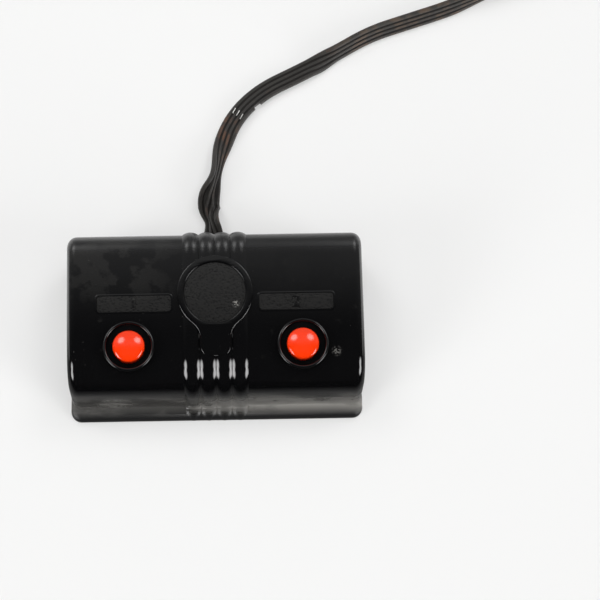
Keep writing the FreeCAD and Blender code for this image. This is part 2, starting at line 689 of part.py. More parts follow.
def cable_strap():
    """A strap riveted to the base plate over the ribbon, with the ribbon's end that it holds."""
    side = "(ribbon_width / 2 + strap_gap)"
    roof = "(ribbon_z + ribbon_thick / 2 + strap_gap)"
    low = "plate_top"
    top = f"{low} + strap_thick"
    under = [("strap_reach", low), (side, low), (side, roof)]
    over = [("strap_reach", top), (f"{side} + strap_thick", top),
            (f"{side} + strap_thick", f"{roof} + strap_thick")]
    corners = under + [(f"-({x})", z) for x, z in reversed(under)]
    corners += [(f"-({x})", z) for x, z in over] + list(reversed(over))
    strap = place(polygon_body("strap_blank", "XZ_Plane", corners, "strap_depth"), y="strap_y")
    holes = []
    rivets = []
    for name, sign in SIDES.items():
        x = f"{sign} * strap_rivet_x"
        holes.append(add_cylinder(name + "_strap_bore", x, "strap_y", low, "rivet_radius + rivet_gap",
                                  "strap_thick"))
        rivets.append(rivet(name + "_strap_rivet", x, "strap_y", "plate_z", f"({low} + strap_thick)"))
    node("cable_strap", cut("cable_strap", strap, holes))
    node("strap_rivets", group("strap_rivets", rivets))
    length = "(overall_depth / 2 - ribbon_inner_y)"
    node("cable_tail", add_box("cable_tail", "0", f"ribbon_inner_y + {length} / 2",
                               "ribbon_z - ribbon_thick / 2", "ribbon_width", length, "ribbon_thick"))


def rounded_path(points):
    """Straight runs joined by tangent arcs, each arc as large as its two runs allow, with the arcs' radii."""
    edges = []
    radii = []
    start = points[0]
    for before, corner, after in zip(points, points[1:], points[2:]):
        back = before - corner
        ahead = after - corner
        reach = 0.45 * min(back.Length, ahead.Length)
        turn = pi - back.getAngle(ahead)
        radii.append(reach / tan(turn / 2))
        enter = corner + Vector(back).normalize() * reach
        leave = corner + Vector(ahead).normalize() * reach
        inward = (Vector(back).normalize() + Vector(ahead).normalize()).normalize()
        middle = corner + inward * (radii[-1] / cos(turn / 2) - radii[-1])
        edges.append(Part.LineSegment(start, enter).toShape())
        edges.append(Part.Arc(enter, middle, leave).toShape())
        start = leave
    edges.append(Part.LineSegment(start, points[-1]).toShape())
    return Part.Wire(edges), radii


def tube(name, points, radius):
    """A round tube along a rounded path; its volume has to be its section times its length."""
    path, radii = rounded_path(points)
    section = Part.Wire(Part.Circle(points[0], points[1] - points[0], radius).toShape())
    solid = path.makePipeShell([section], True, False)
    share = solid.Volume / (pi * radius ** 2 * path.Length)
    print(f"{name}: {path.Length:.1f} mm, smallest radius {min(radii):.1f} mm, volume share {share:.4f}")
    if abs(share - 1) > 0.01:
        raise ValueError(f"{name} has a fault in its sweep")
    return solid


# The middle points of the leads to the inner and outer lugs, as shares of the way across and up.
LEAD_ROUTES = {
    "foot": [(0.0, -3.4, 0.0), (0.62, -7.3, 0.6)],
    "strip": [(0.0, -2.6, 0.0), (0.153, -4.25, 0.25), (0.482, -4.0, 0.45), (0.794, -5.0, 0.75),
              (0.967, -7.3, 0.95)],
}


def lead_wires():
    """Four insulated leads, one from each conductor of the ribbon to its solder lug."""
    low = value("ribbon_z")
    radius = value("lead_radius")
    rise = value("board_z - lug_thick - rivet_gap") - radius - low
    start_y = value("ribbon_inner_y")
    end_y = value("blade_y - lug_tail + lug_length - lug_thick")
    lane = value("ribbon_width / 8")
    wires = [(-3, -1, "strip"), (-1, -1, "foot"), (1, 1, "foot"), (3, 1, "strip")]
    for number, (lanes, sign, part) in enumerate(wires, start=1):
        start_x = lanes * lane
        across = sign * value(part + "_rivet_x") - start_x
        points = [Vector(start_x, start_y, low)]
        for share, back, climb in LEAD_ROUTES[part]:
            points.append(Vector(start_x + share * across, start_y + back, low + climb * rise))
        points.append(Vector(start_x + across, end_y, low + rise))
        name = "lead_wire_%d" % number
        node(name, shape_feature(name, tube(name, points, radius)))


# ---------------------------------------------------------------- free cable

def cable_run():
    """The ribbon from the case's rear to the coil, as a round tube of about its section."""
    points = [Vector(*point) for point in CABLE_ROUTE]
    node("cable_run", shape_feature("cable_run", tube("cable_run", points, value("cord_radius"))))


def cable_coil():
    """The outer shape of the ribbon's coil, with the tie round it and the four bare ends inside it."""
    outer = add_cylinder("coil_blank", "coil_x", "coil_y", "tie_thick", "coil_outer", "coil_height")
    inner = add_cylinder("coil_hole", "coil_x", "coil_y", "tie_thick", "coil_inner", "coil_height")
    node("cable_coil", cut("cable_coil", outer, [inner]))
    middle = "((coil_outer + coil_inner) / 2)"
    x = f"coil_x + {middle} * cos(tie_angle)"
    y = f"coil_y + {middle} * sin(tie_angle)"
    reach = "(coil_outer - coil_inner + 2 * tie_thick)"
    gap = "rivet_gap"
    height = "(coil_height + 2 * tie_thick)"

    def band(name, trim, length, z, tall):
        """A box that crosses the coil's ring, turned to its place."""
        block = bind(doc.addObject("Part::Box", name), Length=length, Width=trim, Height=tall)
        return place(block, f"{x} - ({length}) / 2 * cos(tie_angle) + ({trim}) / 2 * sin(tie_angle)",
                     f"{y} - ({length}) / 2 * sin(tie_angle) - ({trim}) / 2 * cos(tie_angle)", z,
                     Z_AXIS, "tie_angle")

    outside = band("tie_blank", "tie_width", f"{reach} + 4 * {gap}", "0", f"{height} + 2 * {gap}")
    inside = band("tie_hole", "2 * tie_width", f"{reach} - 2 * tie_thick + 4 * {gap}", f"tie_thick - {gap} / 2",
                  f"coil_height + 2 * {gap}")
    node("coil_tie", cut("coil_tie", outside, [inside]))


def end_leads():
    """The four conductors at the far end, split from one another inside the coil."""
    centre = Vector(value("coil_x"), value("coil_y"), 0)
    inner, radius = value("coil_inner"), value("end_lead_radius")
    length = value("end_lead_length")
    leads = []
    for lane in range(4):
        height = value("tie_thick + coil_height / 2") + (lane - 1.5) * 2.1 * radius
        start_angle = radians(96)
        out = Vector(cos(start_angle), sin(start_angle), 0)
        ahead = Vector(-out.y, out.x, 0)
        start = centre + out * inner + Vector(0, 0, height)
        spread = radius * 1.1 + (3 - lane) * 0.5
        points = [start, start + ahead * length * 0.35 - out * (2.0 + 0.9 * lane),
                  start + ahead * length * 0.7 - out * (3.6 + 2.4 * lane),
                  start + ahead * length - out * (4.4 + 4.2 * lane)]
        for share, point in zip((0.0, 0.35, 0.75, 1.0), points):
            point.z = height + (spread - height) * share
        leads.append(shape_feature("end_lead_%d" % (lane + 1), tube("end lead", points, radius)))
    node("cable_end_leads", group("cable_end_leads", leads))


# ---------------------------------------------------------------- checks and export

def check_document():
    """Every object recomputed without a fault, and every sub-part a valid solid."""
    doc.recompute()
    for thing in doc.Objects:
        if "Invalid" in thing.State or "Error" in thing.State:
            raise ValueError(f"{thing.Name} is {thing.State}")
    for name, thing in NODES.items():
        shape = thing.Shape
        if shape.isNull() or not shape.isValid() or not shape.Solids or shape.Volume <= 0:
            raise ValueError(f"{name} has no valid solid")


def export():
    os.makedirs("parts", exist_ok=True)
    for name, thing in NODES.items():
        thing.Shape.exportStep("parts/%s.step" % name)
        print(f"{name}: {len(thing.Shape.Solids)} solid(s), {thing.Shape.Volume:.1f} mm3")


case_shell()
base_plate()
terminal_board()
for side_name, side_sign in SIDES.items():
    button(side_name, side_sign)
    contact_set(side_name, side_sign)
rivets_and_lugs()
cable_strap()
lead_wires()
cable_run()
cable_coil()
end_leads()
check_document()
export()
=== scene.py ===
"""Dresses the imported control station: moulded case, buttons, ribbon cable, finishes and the stage."""
import math
from contextlib import contextmanager

import bpy
from bpy.props import FloatProperty, FloatVectorProperty, PointerProperty
from mathutils import Matrix, Vector


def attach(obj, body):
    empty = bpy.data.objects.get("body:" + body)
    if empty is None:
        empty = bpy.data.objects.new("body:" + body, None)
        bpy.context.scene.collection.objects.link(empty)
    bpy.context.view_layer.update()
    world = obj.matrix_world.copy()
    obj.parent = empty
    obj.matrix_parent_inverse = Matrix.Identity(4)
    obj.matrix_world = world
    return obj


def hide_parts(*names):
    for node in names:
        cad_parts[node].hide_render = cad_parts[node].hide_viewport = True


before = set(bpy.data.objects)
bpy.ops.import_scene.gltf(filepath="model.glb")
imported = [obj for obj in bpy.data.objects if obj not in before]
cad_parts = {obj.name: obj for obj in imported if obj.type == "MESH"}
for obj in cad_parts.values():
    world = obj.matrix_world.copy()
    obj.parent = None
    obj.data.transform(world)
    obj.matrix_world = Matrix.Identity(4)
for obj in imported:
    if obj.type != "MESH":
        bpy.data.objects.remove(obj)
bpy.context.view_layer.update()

bl_info = {
    "name": "Control Station",
    "version": (1, 0, 0),
    "blender": (4, 5, 0),
    "location": "3D View > Sidebar > Station",
    "description": "Models and finishes a small two-button control station with its ribbon cable",
    "category": "Object",
}

MM = 0.001
X_AXIS, Y_AXIS, Z_AXIS = Vector((1, 0, 0)), Vector((0, 1, 0)), Vector((0, 0, 1))
SIDES = {"left": -1, "right": 1}
ROUND_STEPS = 96  # faces round a turned piece

# Places and sizes that more than one step reads, in millimetres.
BELOW = -1  # the case's blocks reach this low, and are then cut at the table
FLANGE_HALF, FLANGE_FRONT, FLANGE_REAR = 36.3, -21.6, 21.9
PAD_HEAD = 5.9  # middle of the keyhole pad's head and of its disc, from front to rear
LABEL_PLACE, LABEL_SIZE = (19.6, 3.6), (18.1, 4.2)
COLLAR_LOW = -4.6  # lowest part of a collar's tube, below the level of its rim


# ---------------------------------------------------------------- settings

def length(name, description, default):
    """A length in metres, given in millimetres."""
    return FloatProperty(name=name, description=description, default=default * MM, unit="LENGTH", precision=5)


def colour(name, description, default):
    """A colour without transparency."""
    return FloatVectorProperty(name=name, description=description, default=default, subtype="COLOR",
                               size=3, min=0, max=1)


class StationSizes(bpy.types.PropertyGroup):
    """Sizes of the pieces that are modelled here; they repeat those of the solids."""
    case_width: length("Case width", "Width over the side walls", 72.0)
    case_height: length("Case height", "Height of the crowned top above the table", 20.5)
    rear_wall: length("Rear wall", "Distance of the rear wall's outside from the centre", 21.6)
    front_foot: length("Front foot", "Distance of the front wall from the centre, at the table", 18.997)
    wall: length("Wall", "Thickness of the moulded walls", 1.8)
    crown_radius: length("Crown radius", "Radius of the crowned top", 170.0)
    crown_centre: length("Crown centre", "Distance of the crown's centre from the middle", 20.3)
    rear_radius: length("Rear radius", "Rounding between top and rear wall", 4.5)
    front_radius: length("Front radius", "Rounding between top and front wall", 9.5)
    side_round: length("Side rounding", "Rounding between top and side walls", 2.4)
    flange_height: length("Flange height", "Height of the flange round the foot", 2.3)
    rib_pitch: length("Rib pitch", "Distance from rib to rib", 3.87)
    rib_rise: length("Rib rise", "How far a rib's crest stands out", 0.7)
    pad_rise: length("Pad rise", "How far the keyhole pad stands out", 0.8)
    disc_radius: length("Disc radius", "Radius of the sunk disc in the pad", 7.55)
    button_x: length("Button distance", "Distance of each button from the middle", 20.9)
    button_y: length("Button row", "Place of the buttons from front to rear", -6.8)
    button_radius: length("Button radius", "Radius of a button's cap", 3.85)
    ribbon_width: length("Ribbon width", "Width of the flat cable", 5.0)
    ribbon_thick: length("Ribbon thickness", "Thickness of the flat cable", 1.3)
    well_radius: length("Well radius", "Radius of the well round a button", 5.6)
    front_lean: FloatProperty(name="Front lean", description="Lean of the front wall",
                              default=math.radians(11), subtype="ANGLE")


class FinishColours(bpy.types.PropertyGroup):
    """Colours of the finishes."""
    case: colour("Case", "Black moulded phenolic", (0.0027, 0.0027, 0.003))
    # The dust colour also paints the floor's reflection low on the case's front wall.
    dust: colour("Dust", "Dust on the case and the cable", (0.32, 0.31, 0.29))
    button: colour("Button", "Red buttons", (0.92, 0.038, 0.002))
    cable: colour("Cable", "Aged vinyl of the ribbon", (0.02, 0.018, 0.016))
    board: colour("Board", "Laminated terminal board", (0.17, 0.07, 0.03))
    bronze: colour("Bronze", "Contact blades", (0.72, 0.45, 0.22))
    steel: colour("Steel", "Screws and strap", (0.6, 0.6, 0.61))


class StageSettings(bpy.types.PropertyGroup):
    """Light and background."""
    high: FloatProperty(name="High glow", description="Strength of the two soft glows to the rear", default=1)
    low: FloatProperty(name="Low glow", description="Strength of the four soft glows in front", default=1)
    overhead: FloatProperty(name="Overhead lamp", description="Strength of the lamp overhead", default=1)
    floor: FloatProperty(name="Floor", description="Brightness of the floor to the camera", default=0.84)


# ---------------------------------------------------------------- modelling helpers

def only(obj):
    """Select one object alone and make it active."""
    bpy.ops.object.select_all(action="DESELECT")
    obj.select_set(True)
    bpy.context.view_layer.objects.active = obj


@contextmanager
def editing(obj):
    """Edit mode on one object alone."""
    only(obj)
    bpy.ops.object.mode_set(mode="EDIT")
    yield
    bpy.ops.object.mode_set(mode="OBJECT")


class Pen:
    """Draws in edit mode: a point that moves leaves a line, a line a surface, and a face a body."""

    def __init__(self, name, start):
        bpy.ops.object.select_all(action="DESELECT")
        bpy.ops.mesh.primitive_plane_add(size=MM, location=(0, 0, 0))
        self.obj = bpy.context.object
        self.obj.name = name
        bpy.ops.object.mode_set(mode="EDIT")
        bpy.ops.mesh.select_mode(type="VERT")
        bpy.ops.mesh.merge(type="CENTER")
        bpy.ops.transform.translate(value=Vector(start) * MM)

    def line(self, *offset, steps=1):
        """Extrude by an offset in millimetres, in equal steps."""
        step = Vector(offset) * MM / steps
        for _ in range(steps):
            bpy.ops.mesh.extrude_region_move(TRANSFORM_OT_translate={"value": step})
        return self

    def arc(self, centre, angle, steps, axis=Z_AXIS):
        """Spin about a centre in millimetres, by degrees to the right-hand rule."""
        bpy.ops.mesh.spin(steps=steps, angle=-math.radians(angle), center=Vector(centre) * MM, axis=axis)
        return self

    def all(self):
        """Select all that is drawn."""
        bpy.ops.mesh.select_all(action="SELECT")
        return self

    def weld(self):
        """Merge points that coincide."""
        self.all()
        bpy.ops.mesh.remove_doubles(threshold=5e-7)
        return self

    def face(self):
        """Close the drawn outline with a face."""
        self.weld()
        bpy.ops.mesh.edge_face_add()
        return self

    def close_ends(self):
        """Fill each open end with a face, and turn all faces outwards."""
        self.weld()
        bpy.ops.mesh.select_all(action="DESELECT")
        bpy.ops.mesh.select_non_manifold(extend=False, use_wire=False, use_multi_face=False,
                                         use_non_contiguous=False, use_verts=False)
        bpy.ops.mesh.fill_holes(sides=0)
        return self.outwards()

    def outwards(self):
        """Turn all faces outwards."""
        self.all()
        bpy.ops.mesh.normals_make_consistent(inside=False)
        return self

    def done(self):
        """Leave edit mode, and give the drawn object."""
        bpy.ops.object.mode_set(mode="OBJECT")
        return self.obj


def weld(obj):
    """Merge an object's points that coincide."""
    with editing(obj):
        bpy.ops.mesh.select_all(action="SELECT")
        bpy.ops.mesh.remove_doubles(threshold=1e-6)
    return obj


def boolean(obj, tool, operation):
    """Join, cut or intersect with a tool, which is used up."""
    only(obj)
    modifier = obj.modifiers.new("boolean", "BOOLEAN")
    modifier.operation = operation
    modifier.solver = "EXACT"
    modifier.object = tool
    bpy.ops.object.modifier_apply(modifier=modifier.name)
    bpy.data.objects.remove(tool, do_unlink=True)
    return weld(obj)


def rod(name, x, y, low, high, radius, segments=64):
    """An upright rod between two heights, in millimetres."""
    bpy.ops.object.select_all(action="DESELECT")
    bpy.ops.mesh.primitive_cylinder_add(vertices=segments, radius=radius * MM, depth=(high - low) * MM,
                                        location=(x * MM, y * MM, (low + high) / 2 * MM))
    bpy.context.object.name = name
    bpy.ops.object.transform_apply()
    return bpy.context.object


def block(name, low, high):
    """A box between two corners, in millimetres."""
    low, high = Vector(low) * MM, Vector(high) * MM
    bpy.ops.object.select_all(action="DESELECT")
    bpy.ops.mesh.primitive_cube_add(size=1, location=(low + high) / 2)
    obj = bpy.context.object
    obj.name = name
    obj.scale = high - low
    bpy.ops.object.transform_apply()
    return obj


def upright(a, b):
    """True of an upright edge's two ends."""
    return abs(a.x - b.x) + abs(a.y - b.y) < 1e-7


def above(height):
    """A test that both ends of an edge are above a height in millimetres."""
    return lambda a, b: min(a.z, b.z) > height * MM


def bevel_edges(obj, wanted, width, segments):
    """Round the edges that a test on their two ends picks."""
    with editing(obj):
        bpy.ops.mesh.select_mode(type="EDGE")
        bpy.ops.mesh.select_all(action="DESELECT")
    places = [vertex.co for vertex in obj.data.vertices]
    for edge in obj.data.edges:
        edge.select = wanted(*(places[end] for end in edge.vertices))
    with editing(obj):
        bpy.ops.mesh.bevel(offset=width * MM, segments=segments, affect="EDGES")
    return obj


def cut_at_table(obj):
    """Cut off what lies below the table, and close the cut."""
    with editing(obj):
        bpy.ops.mesh.select_all(action="SELECT")
        bpy.ops.mesh.bisect(plane_co=(0, 0, 0), plane_no=Z_AXIS, use_fill=True, clear_inner=True)
    return obj


def set_in_place(obj, matrix):
    """Move a piece that was modelled upright at the origin, and leave its object unturned."""
    obj.matrix_world = matrix
    only(obj)
    bpy.ops.object.transform_apply()
    return obj


def copy_of(obj, name):
    """A copy with a mesh of its own."""
    twin = obj.copy()
    twin.data = obj.data.copy()
    twin.name = name
    bpy.context.collection.objects.link(twin)
    return twin


def finish(obj, body, material, *nodes, angle=35):
    """Smooth a piece, give it its finish, and let it ride on its body in place of its solids."""
    only(obj)
    bpy.ops.object.shade_smooth_by_angle(angle=math.radians(angle))
    obj.data.materials.clear()
    obj.data.materials.append(material)
    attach(obj, body)
    if nodes:
        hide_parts(*nodes)
    return obj


def coat(material, *nodes):
    """Give solids that keep their own shape their finish."""
    for node in nodes:
        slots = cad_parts[node].material_slots
        if not slots:
            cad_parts[node].data.materials.append(material)
        for slot in slots:
            slot.material = material


# ---------------------------------------------------------------- side outline of the case

class Outline:
    """The case's side outline in millimetres: tangent arcs between the rear and front walls."""

    def __init__(self, sizes):
        to_mm = 1 / MM
        self.rear = sizes.rear_wall * to_mm
        self.rear_r = sizes.rear_radius * to_mm
        self.front_r = sizes.front_radius * to_mm
        self.crown_r = sizes.crown_radius * to_mm
        self.lean = sizes.front_lean
        self.crown = Vector((0, sizes.crown_centre * to_mm, sizes.case_height * to_mm - self.crown_r))
        out = Vector((0, -math.cos(self.lean), math.sin(self.lean)))
        up = Vector((0, math.sin(self.lean), math.cos(self.lean)))
        foot = Vector((0, -sizes.front_foot * to_mm, 0))
        start = foot - out * self.front_r
        gap = start - self.crown
        along = gap.dot(up)
        self.front_centre = start + up * (-along + math.sqrt(along ** 2 - gap.dot(gap)
                                                             + (self.crown_r - self.front_r) ** 2))
        rear_y = self.rear - self.rear_r
        rise = math.sqrt((self.crown_r - self.rear_r) ** 2 - (rear_y - self.crown.y) ** 2)
        self.rear_centre = Vector((0, rear_y, self.crown.z + rise))
        self.out, self.up, self.foot = out, up, foot
        to_rear = self.rear_centre - self.crown
        to_front = self.front_centre - self.crown
        self.rear_turn = math.degrees(math.atan2(to_rear.z, to_rear.y))
        self.front_turn = math.degrees(math.atan2(to_front.z, to_front.y))
        self.front_end = math.degrees(math.atan2(out.z, out.y))

    def top(self, y):
        """Height of the crowned top at a place from front to rear."""
        return self.crown.z + math.sqrt(self.crown_r ** 2 - (y - self.crown.y) ** 2)

    def front_point(self, z):
        """The place on the front wall at a height."""
        end = self.front_centre + self.out * self.front_r
        return end - self.up * ((end.z - z) / self.up.z)

    def sweep(self, pen, low, stop):
        """Carry the selected section from a height at the rear over the top, down to one at the front."""
        pen.line(0, 0, self.rear_centre.z - low, steps=4)
        pen.arc(self.rear_centre, self.rear_turn, 14, X_AXIS)
        pen.arc(self.crown, self.front_turn - self.rear_turn, 18, X_AXIS)
        pen.arc(self.front_centre, self.front_end - self.front_turn, 26, X_AXIS)
        end = self.front_centre + self.out * self.front_r
        pen.line(*(-self.up * ((end.z - stop) / self.up.z)), steps=4)


def lay_on_crown(obj, outline):
    """Give a piece that was modelled flat the curve of the case's top, after cuts that let it bend."""
    first, last, step = -18.0, 20, 0.7
    with editing(obj):
        place = first
        while place < last:
            bpy.ops.mesh.select_all(action="SELECT")
            bpy.ops.mesh.bisect(plane_co=(0, place * MM, 0), plane_no=Y_AXIS)
            place += step
    for vertex in obj.data.vertices:
        vertex.co.z += outline.top(vertex.co.y / MM) * MM
    return obj


# ---------------------------------------------------------------- shader helpers

class Value:
    """A socket in an expression: each sum, product or comparison with it adds a node."""

    def __init__(self, shading, socket):
        self.shading, self.socket = shading, socket

    def _math(self, operation, first, second):
        return self.shading.node("ShaderNodeMath", {"operation": operation}, {0: first, 1: second})

    def __add__(self, other):
        return self._math("ADD", self, other)

    __radd__ = __add__

    def __mul__(self, other):
        return self._math("MULTIPLY", self, other)

    __rmul__ = __mul__

    def __sub__(self, other):
        return self._math("SUBTRACT", self, other)

    def __rsub__(self, other):
        return self._math("SUBTRACT", other, self)

    def __pow__(self, other):
        return self._math("POWER", self, other)

    def over(self, low, high):
        """0 below low, 1 above high, and a smooth rise between."""
        return self.shading.node("ShaderNodeMapRange",
                                 {"interpolation_type": "SMOOTHSTEP", "clamp": True},
                                 {"Value": self, "From Min": low, "From Max": high,
                                  "To Min": 0.0, "To Max": 1.0})

    def past(self, limit):
        """How far the value is past a limit, or 0."""
        return self.shading.node("ShaderNodeMath", {"operation": "MAXIMUM"}, {0: self - limit, 1: 0.0})


class Shading:
    """A node tree under construction, with places read from one kind of coordinates."""
    kind, coordinates, unit = "BACKGROUND", "Generated", 1.0

    def __init__(self, holder):
        holder.use_nodes = True
        self.tree = holder.node_tree
        self.shader = next(node for node in self.tree.nodes if node.type == self.kind)
        self.place = self.node("ShaderNodeTexCoord", {}, {}, self.coordinates)

    def node(self, kind, settings, inputs, output=0):
        """Add a node: its settings first, then the values or links of its sockets."""
        node = self.tree.nodes.new(kind)
        for name, value in settings.items():
            setattr(node, name, value)
        for name, value in inputs.items():
            self.join(value, node.inputs[name])
        return Value(self, node.outputs[output])

    def join(self, value, socket):
        """Link a value to a socket, or set a constant on it."""
        if isinstance(value, Value):
            self.tree.links.new(value.socket, socket)
        else:
            socket.default_value = value

    def axis(self, name):
        """A place along one axis: in millimetres on an object, as a direction in the world."""
        return self.node("ShaderNodeSeparateXYZ", {}, {0: self.place}, name) * self.unit


class Sky(Shading):
    """The world's light, by direction."""

    def glow(self, towards, inner, outer):
        """1 within an angle of a direction, in degrees, falling smoothly to 0 at a wider one."""
        facing = self.node("ShaderNodeVectorMath", {"operation": "DOT_PRODUCT"},
                           {0: self.place, 1: Vector(towards).normalized()}, "Value")
        return facing.over(math.cos(math.radians(outer)), math.cos(math.radians(inner)))


class Finish(Shading):
    """A material, by place on its object."""
    kind, coordinates, unit = "BSDF_PRINCIPLED", "Object", 1000.0

    def __init__(self, name, **fixed):
        self.material = bpy.data.materials.new(name)
        super().__init__(self.material)
        self.set(**fixed)

    def set(self, **sockets):
        """Set or link the shader's sockets by name."""
        for name, value in sockets.items():
            self.join(value, self.shader.inputs[name.replace("_", " ")])
        return self

    def noise(self, scale, detail=3.0, rough=0.5, stretch=(1, 1, 1)):
        """Fractal noise from 0 to 1; the scale is in waves per metre."""
        place = self.place
        if tuple(stretch) != (1, 1, 1):
            place = self.node("ShaderNodeMapping", {}, {"Vector": place, "Scale": stretch})
        return self.node("ShaderNodeTexNoise", {}, {"Vector": place, "Scale": scale, "Detail": detail,
                                                    "Roughness": rough}, "Fac")

    def grain(self, scale):
        """Distance to the nearest of many scattered points."""
        return self.node("ShaderNodeTexVoronoi", {}, {"Vector": self.place, "Scale": scale}, "Distance")

    def mix(self, share, first, second):
        """A colour between two colours."""
        first, second = [c if isinstance(c, Value) else (*c, 1.0) for c in (first, second)]
        return self.node("ShaderNodeMix", {"data_type": "RGBA"}, {0: share, 6: first, 7: second}, 2)

    def upward(self):
        """1 on faces that look up, 0 on upright ones."""
        normal = self.node("ShaderNodeNewGeometry", {}, {}, "Normal")
        return self.node("ShaderNodeSeparateXYZ", {}, {0: normal}, "Z")

    def bump(self, height, distance):
        """Raise the surface by a height, with the depth of a height of 1 in metres."""
        return self.set(Normal=self.node("ShaderNodeBump", {}, {"Height": height, "Distance": distance,
                                                                "Strength": 1.0}, "Normal"))


# ---------------------------------------------------------------- finishes

def settled_dust(skin, x, y, haze):
    """Dust that lies on what looks up, most of it to the left and the rear."""
    bloom = (skin.noise(170.0, 5.0, 0.6).over(0.48, 0.56) * (1 - x.over(-20.0, -4.0) * 0.9)
             * y.over(2.0, 9.0) * 0.022)
    film = haze.over(0.45, 0.8) * (1 - x.over(-14.0, 8.0) * 0.8) * y.over(-2.0, 16.0) * 0.012
    specks = (1 - skin.grain(700.0).over(0.03, 0.07)) * skin.noise(90.0).over(0.45, 0.65) * 0.4
    smears = skin.noise(380.0, 5.0).over(0.66, 0.82) * 0.03
    return (film + bloom + specks + smears) * skin.upward().over(0.2, 0.9)


def front_dust_and_reflection(skin, y, z):
    """Dust low on the front wall, down to the flange, with a painted reflection of the floor that grows paler
    towards the foot.
    """
    # Painted floor reflection: paler down the front wall towards the foot, and most just above the flange,
    # where dust also lies in the crease.
    low = (10.8 - z).past(0.0) * 0.055 + (1 - z.over(2.3, 3.6)) * 0.25
    blotches = skin.noise(130.0, 5.0, 0.6, (0.35, 1.0, 1.0)).over(0.42, 0.6) * 1.05 + 0.33
    return low * blotches * (1 - y.over(-16.2, -14.0)) * y.over(-21.2, -17.9)


def case_finish(colours):
    """Glossy black phenolic: settled dust, dust and a painted floor reflection low on the front wall, a
    stippled disc and label fields, fine scuffs.
    """
    skin = Finish("black_phenolic", IOR=1.6)
    x, y, z = skin.axis("X"), skin.axis("Y"), skin.axis("Z")
    side = (x * x) ** 0.5

    def spot(across, back, radius, soft):
        """1 within a radius of a place on the top, in millimetres."""
        away = ((x - across) * (x - across) + (y - back) * (y - back)) ** 0.5
        return 1 - away.over(radius - soft, radius + soft)

    def apart(place, middle):
        """Distance from a middle, along one axis."""
        return ((place - middle) * (place - middle)) ** 0.5

    # The disc, and the label fields with their rounded corners.
    on_disc = spot(0, PAD_HEAD, 7.4, 0.08)
    across = apart(side, LABEL_PLACE[0]).past(LABEL_SIZE[0] / 2 - 0.95)
    back = apart(y, LABEL_PLACE[1]).past(LABEL_SIZE[1] / 2 - 1.0)
    off_label = ((across * across + back * back) ** 0.5).over(0.75, 0.95)
    stippled = (on_disc + 1 - off_label) * z.over(18.0, 18.4)
    stipple = skin.grain(1900.0).over(0.15, 0.55)
    scuffs = skin.noise(900.0, 6.0, 0.7, (1.0, 0.12, 1.0)).over(0.62, 0.8) * (1 - stippled)
    haze = skin.noise(55.0, 4.0, 0.55)
    chips = spot(5.0, 3.1, 0.6, 0.5) + spot(29.0, -8.5, 0.8, 0.7) * 0.5
    chips = chips * skin.noise(2100.0, 3.0).over(0.44, 0.6)
    # Dust and the painted floor reflection on the lower front wall.
    foot = front_dust_and_reflection(skin, y, z)
    flange = 1 - z.over(2.2, 3.0)
    rough = (haze * 0.04 + scuffs * 0.1 + stippled * 0.16 + foot * 0.8 + flange * 0.4
             + y.over(14.5, 18.5) * 0.3 + 0.05)
    # Share of the dust colour: settled dust, chips and stipple, with the painted floor reflection low on the
    # front wall.
    dust_and_reflection_share = settled_dust(skin, x, y, haze) + foot + stippled * stipple * 0.032 + chips * 0.8
    skin.set(Base_Color=skin.mix(dust_and_reflection_share, colours.case, colours.dust), Roughness=rough)
    relief = stipple * stippled * 0.2 + skin.noise(160.0, 2.0) * 0.05 + scuffs * 0.01
    return skin.bump(relief, 0.00012).material


def button_finish(colours):
    """Glossy red-orange moulding with faint handling marks."""
    cap = Finish("button_red", IOR=1.5, Coat_Weight=0.4, Coat_Roughness=0.04, Coat_IOR=1.5)
    marks = cap.noise(1200.0, 6.0, 0.7, (1.0, 0.15, 1.0)).over(0.6, 0.8)
    tint = cap.noise(300.0, 3.0)
    darker = tuple(c * 0.72 for c in colours.button)
    cap.set(Base_Color=cap.mix(tint * 0.35 + marks * 0.1, colours.button, darker),
            Roughness=0.12 + marks * 0.12)
    return cap.bump(cap.noise(500.0, 2.0) * 0.1 + marks * 0.03, 0.00005).material


def groove_shade_finish():
    """Painted shade: near black in the grooves between the ribbon's strands."""
    crease_shade = Finish("groove_painted_shade", IOR=1.4)
    # Painted shade where the strands meet: near black, with a little brown.
    black, brown = (0.003, 0.003, 0.003), (0.012, 0.01, 0.008)
    crease_shade.set(Base_Color=crease_shade.mix(crease_shade.noise(400.0), black, brown), Roughness=0.6)
    return crease_shade.material


def cable_finish(colours):
    """Aged vinyl: dark, with dust and rust along its ridges and a tan stain towards the coil."""
    vinyl = Finish("aged_vinyl", IOR=1.5)
    x, y = vinyl.axis("X"), vinyl.axis("Y")
    along = vinyl.noise(130.0, 4.0)
    fine = vinyl.noise(1500.0, 5.0, 0.65)
    dust = along.over(0.45, 0.75) * 0.3 + fine.over(0.5, 0.75) * 0.35
    paler = tuple(c * 3.4 for c in colours.cable)
    blotch = vinyl.noise(310.0, 4.0)
    before_bend = x.over(1.0, 3.0) * (1 - x.over(5.5, 8.0)) * (1 - y.over(57.0, 60.0)) * y.over(43.0, 50.0)
    stained = x.over(30.0, 42.0) * blotch.over(0.42, 0.6) * 0.45
    rusted = blotch.over(0.6, 0.7) * 0.15 + before_bend * blotch.over(0.4, 0.55) * 0.5
    tan, rust = (0.12, 0.075, 0.045), (0.13, 0.055, 0.025)
    worn = vinyl.mix(stained, vinyl.mix(dust, colours.cable, paler), tan)
    vinyl.set(Base_Color=vinyl.mix(rusted, worn, rust), Roughness=0.36 + fine * 0.3 + dust * 0.2)
    return vinyl.bump(fine * 0.4 + along * 0.4, 0.00012).material


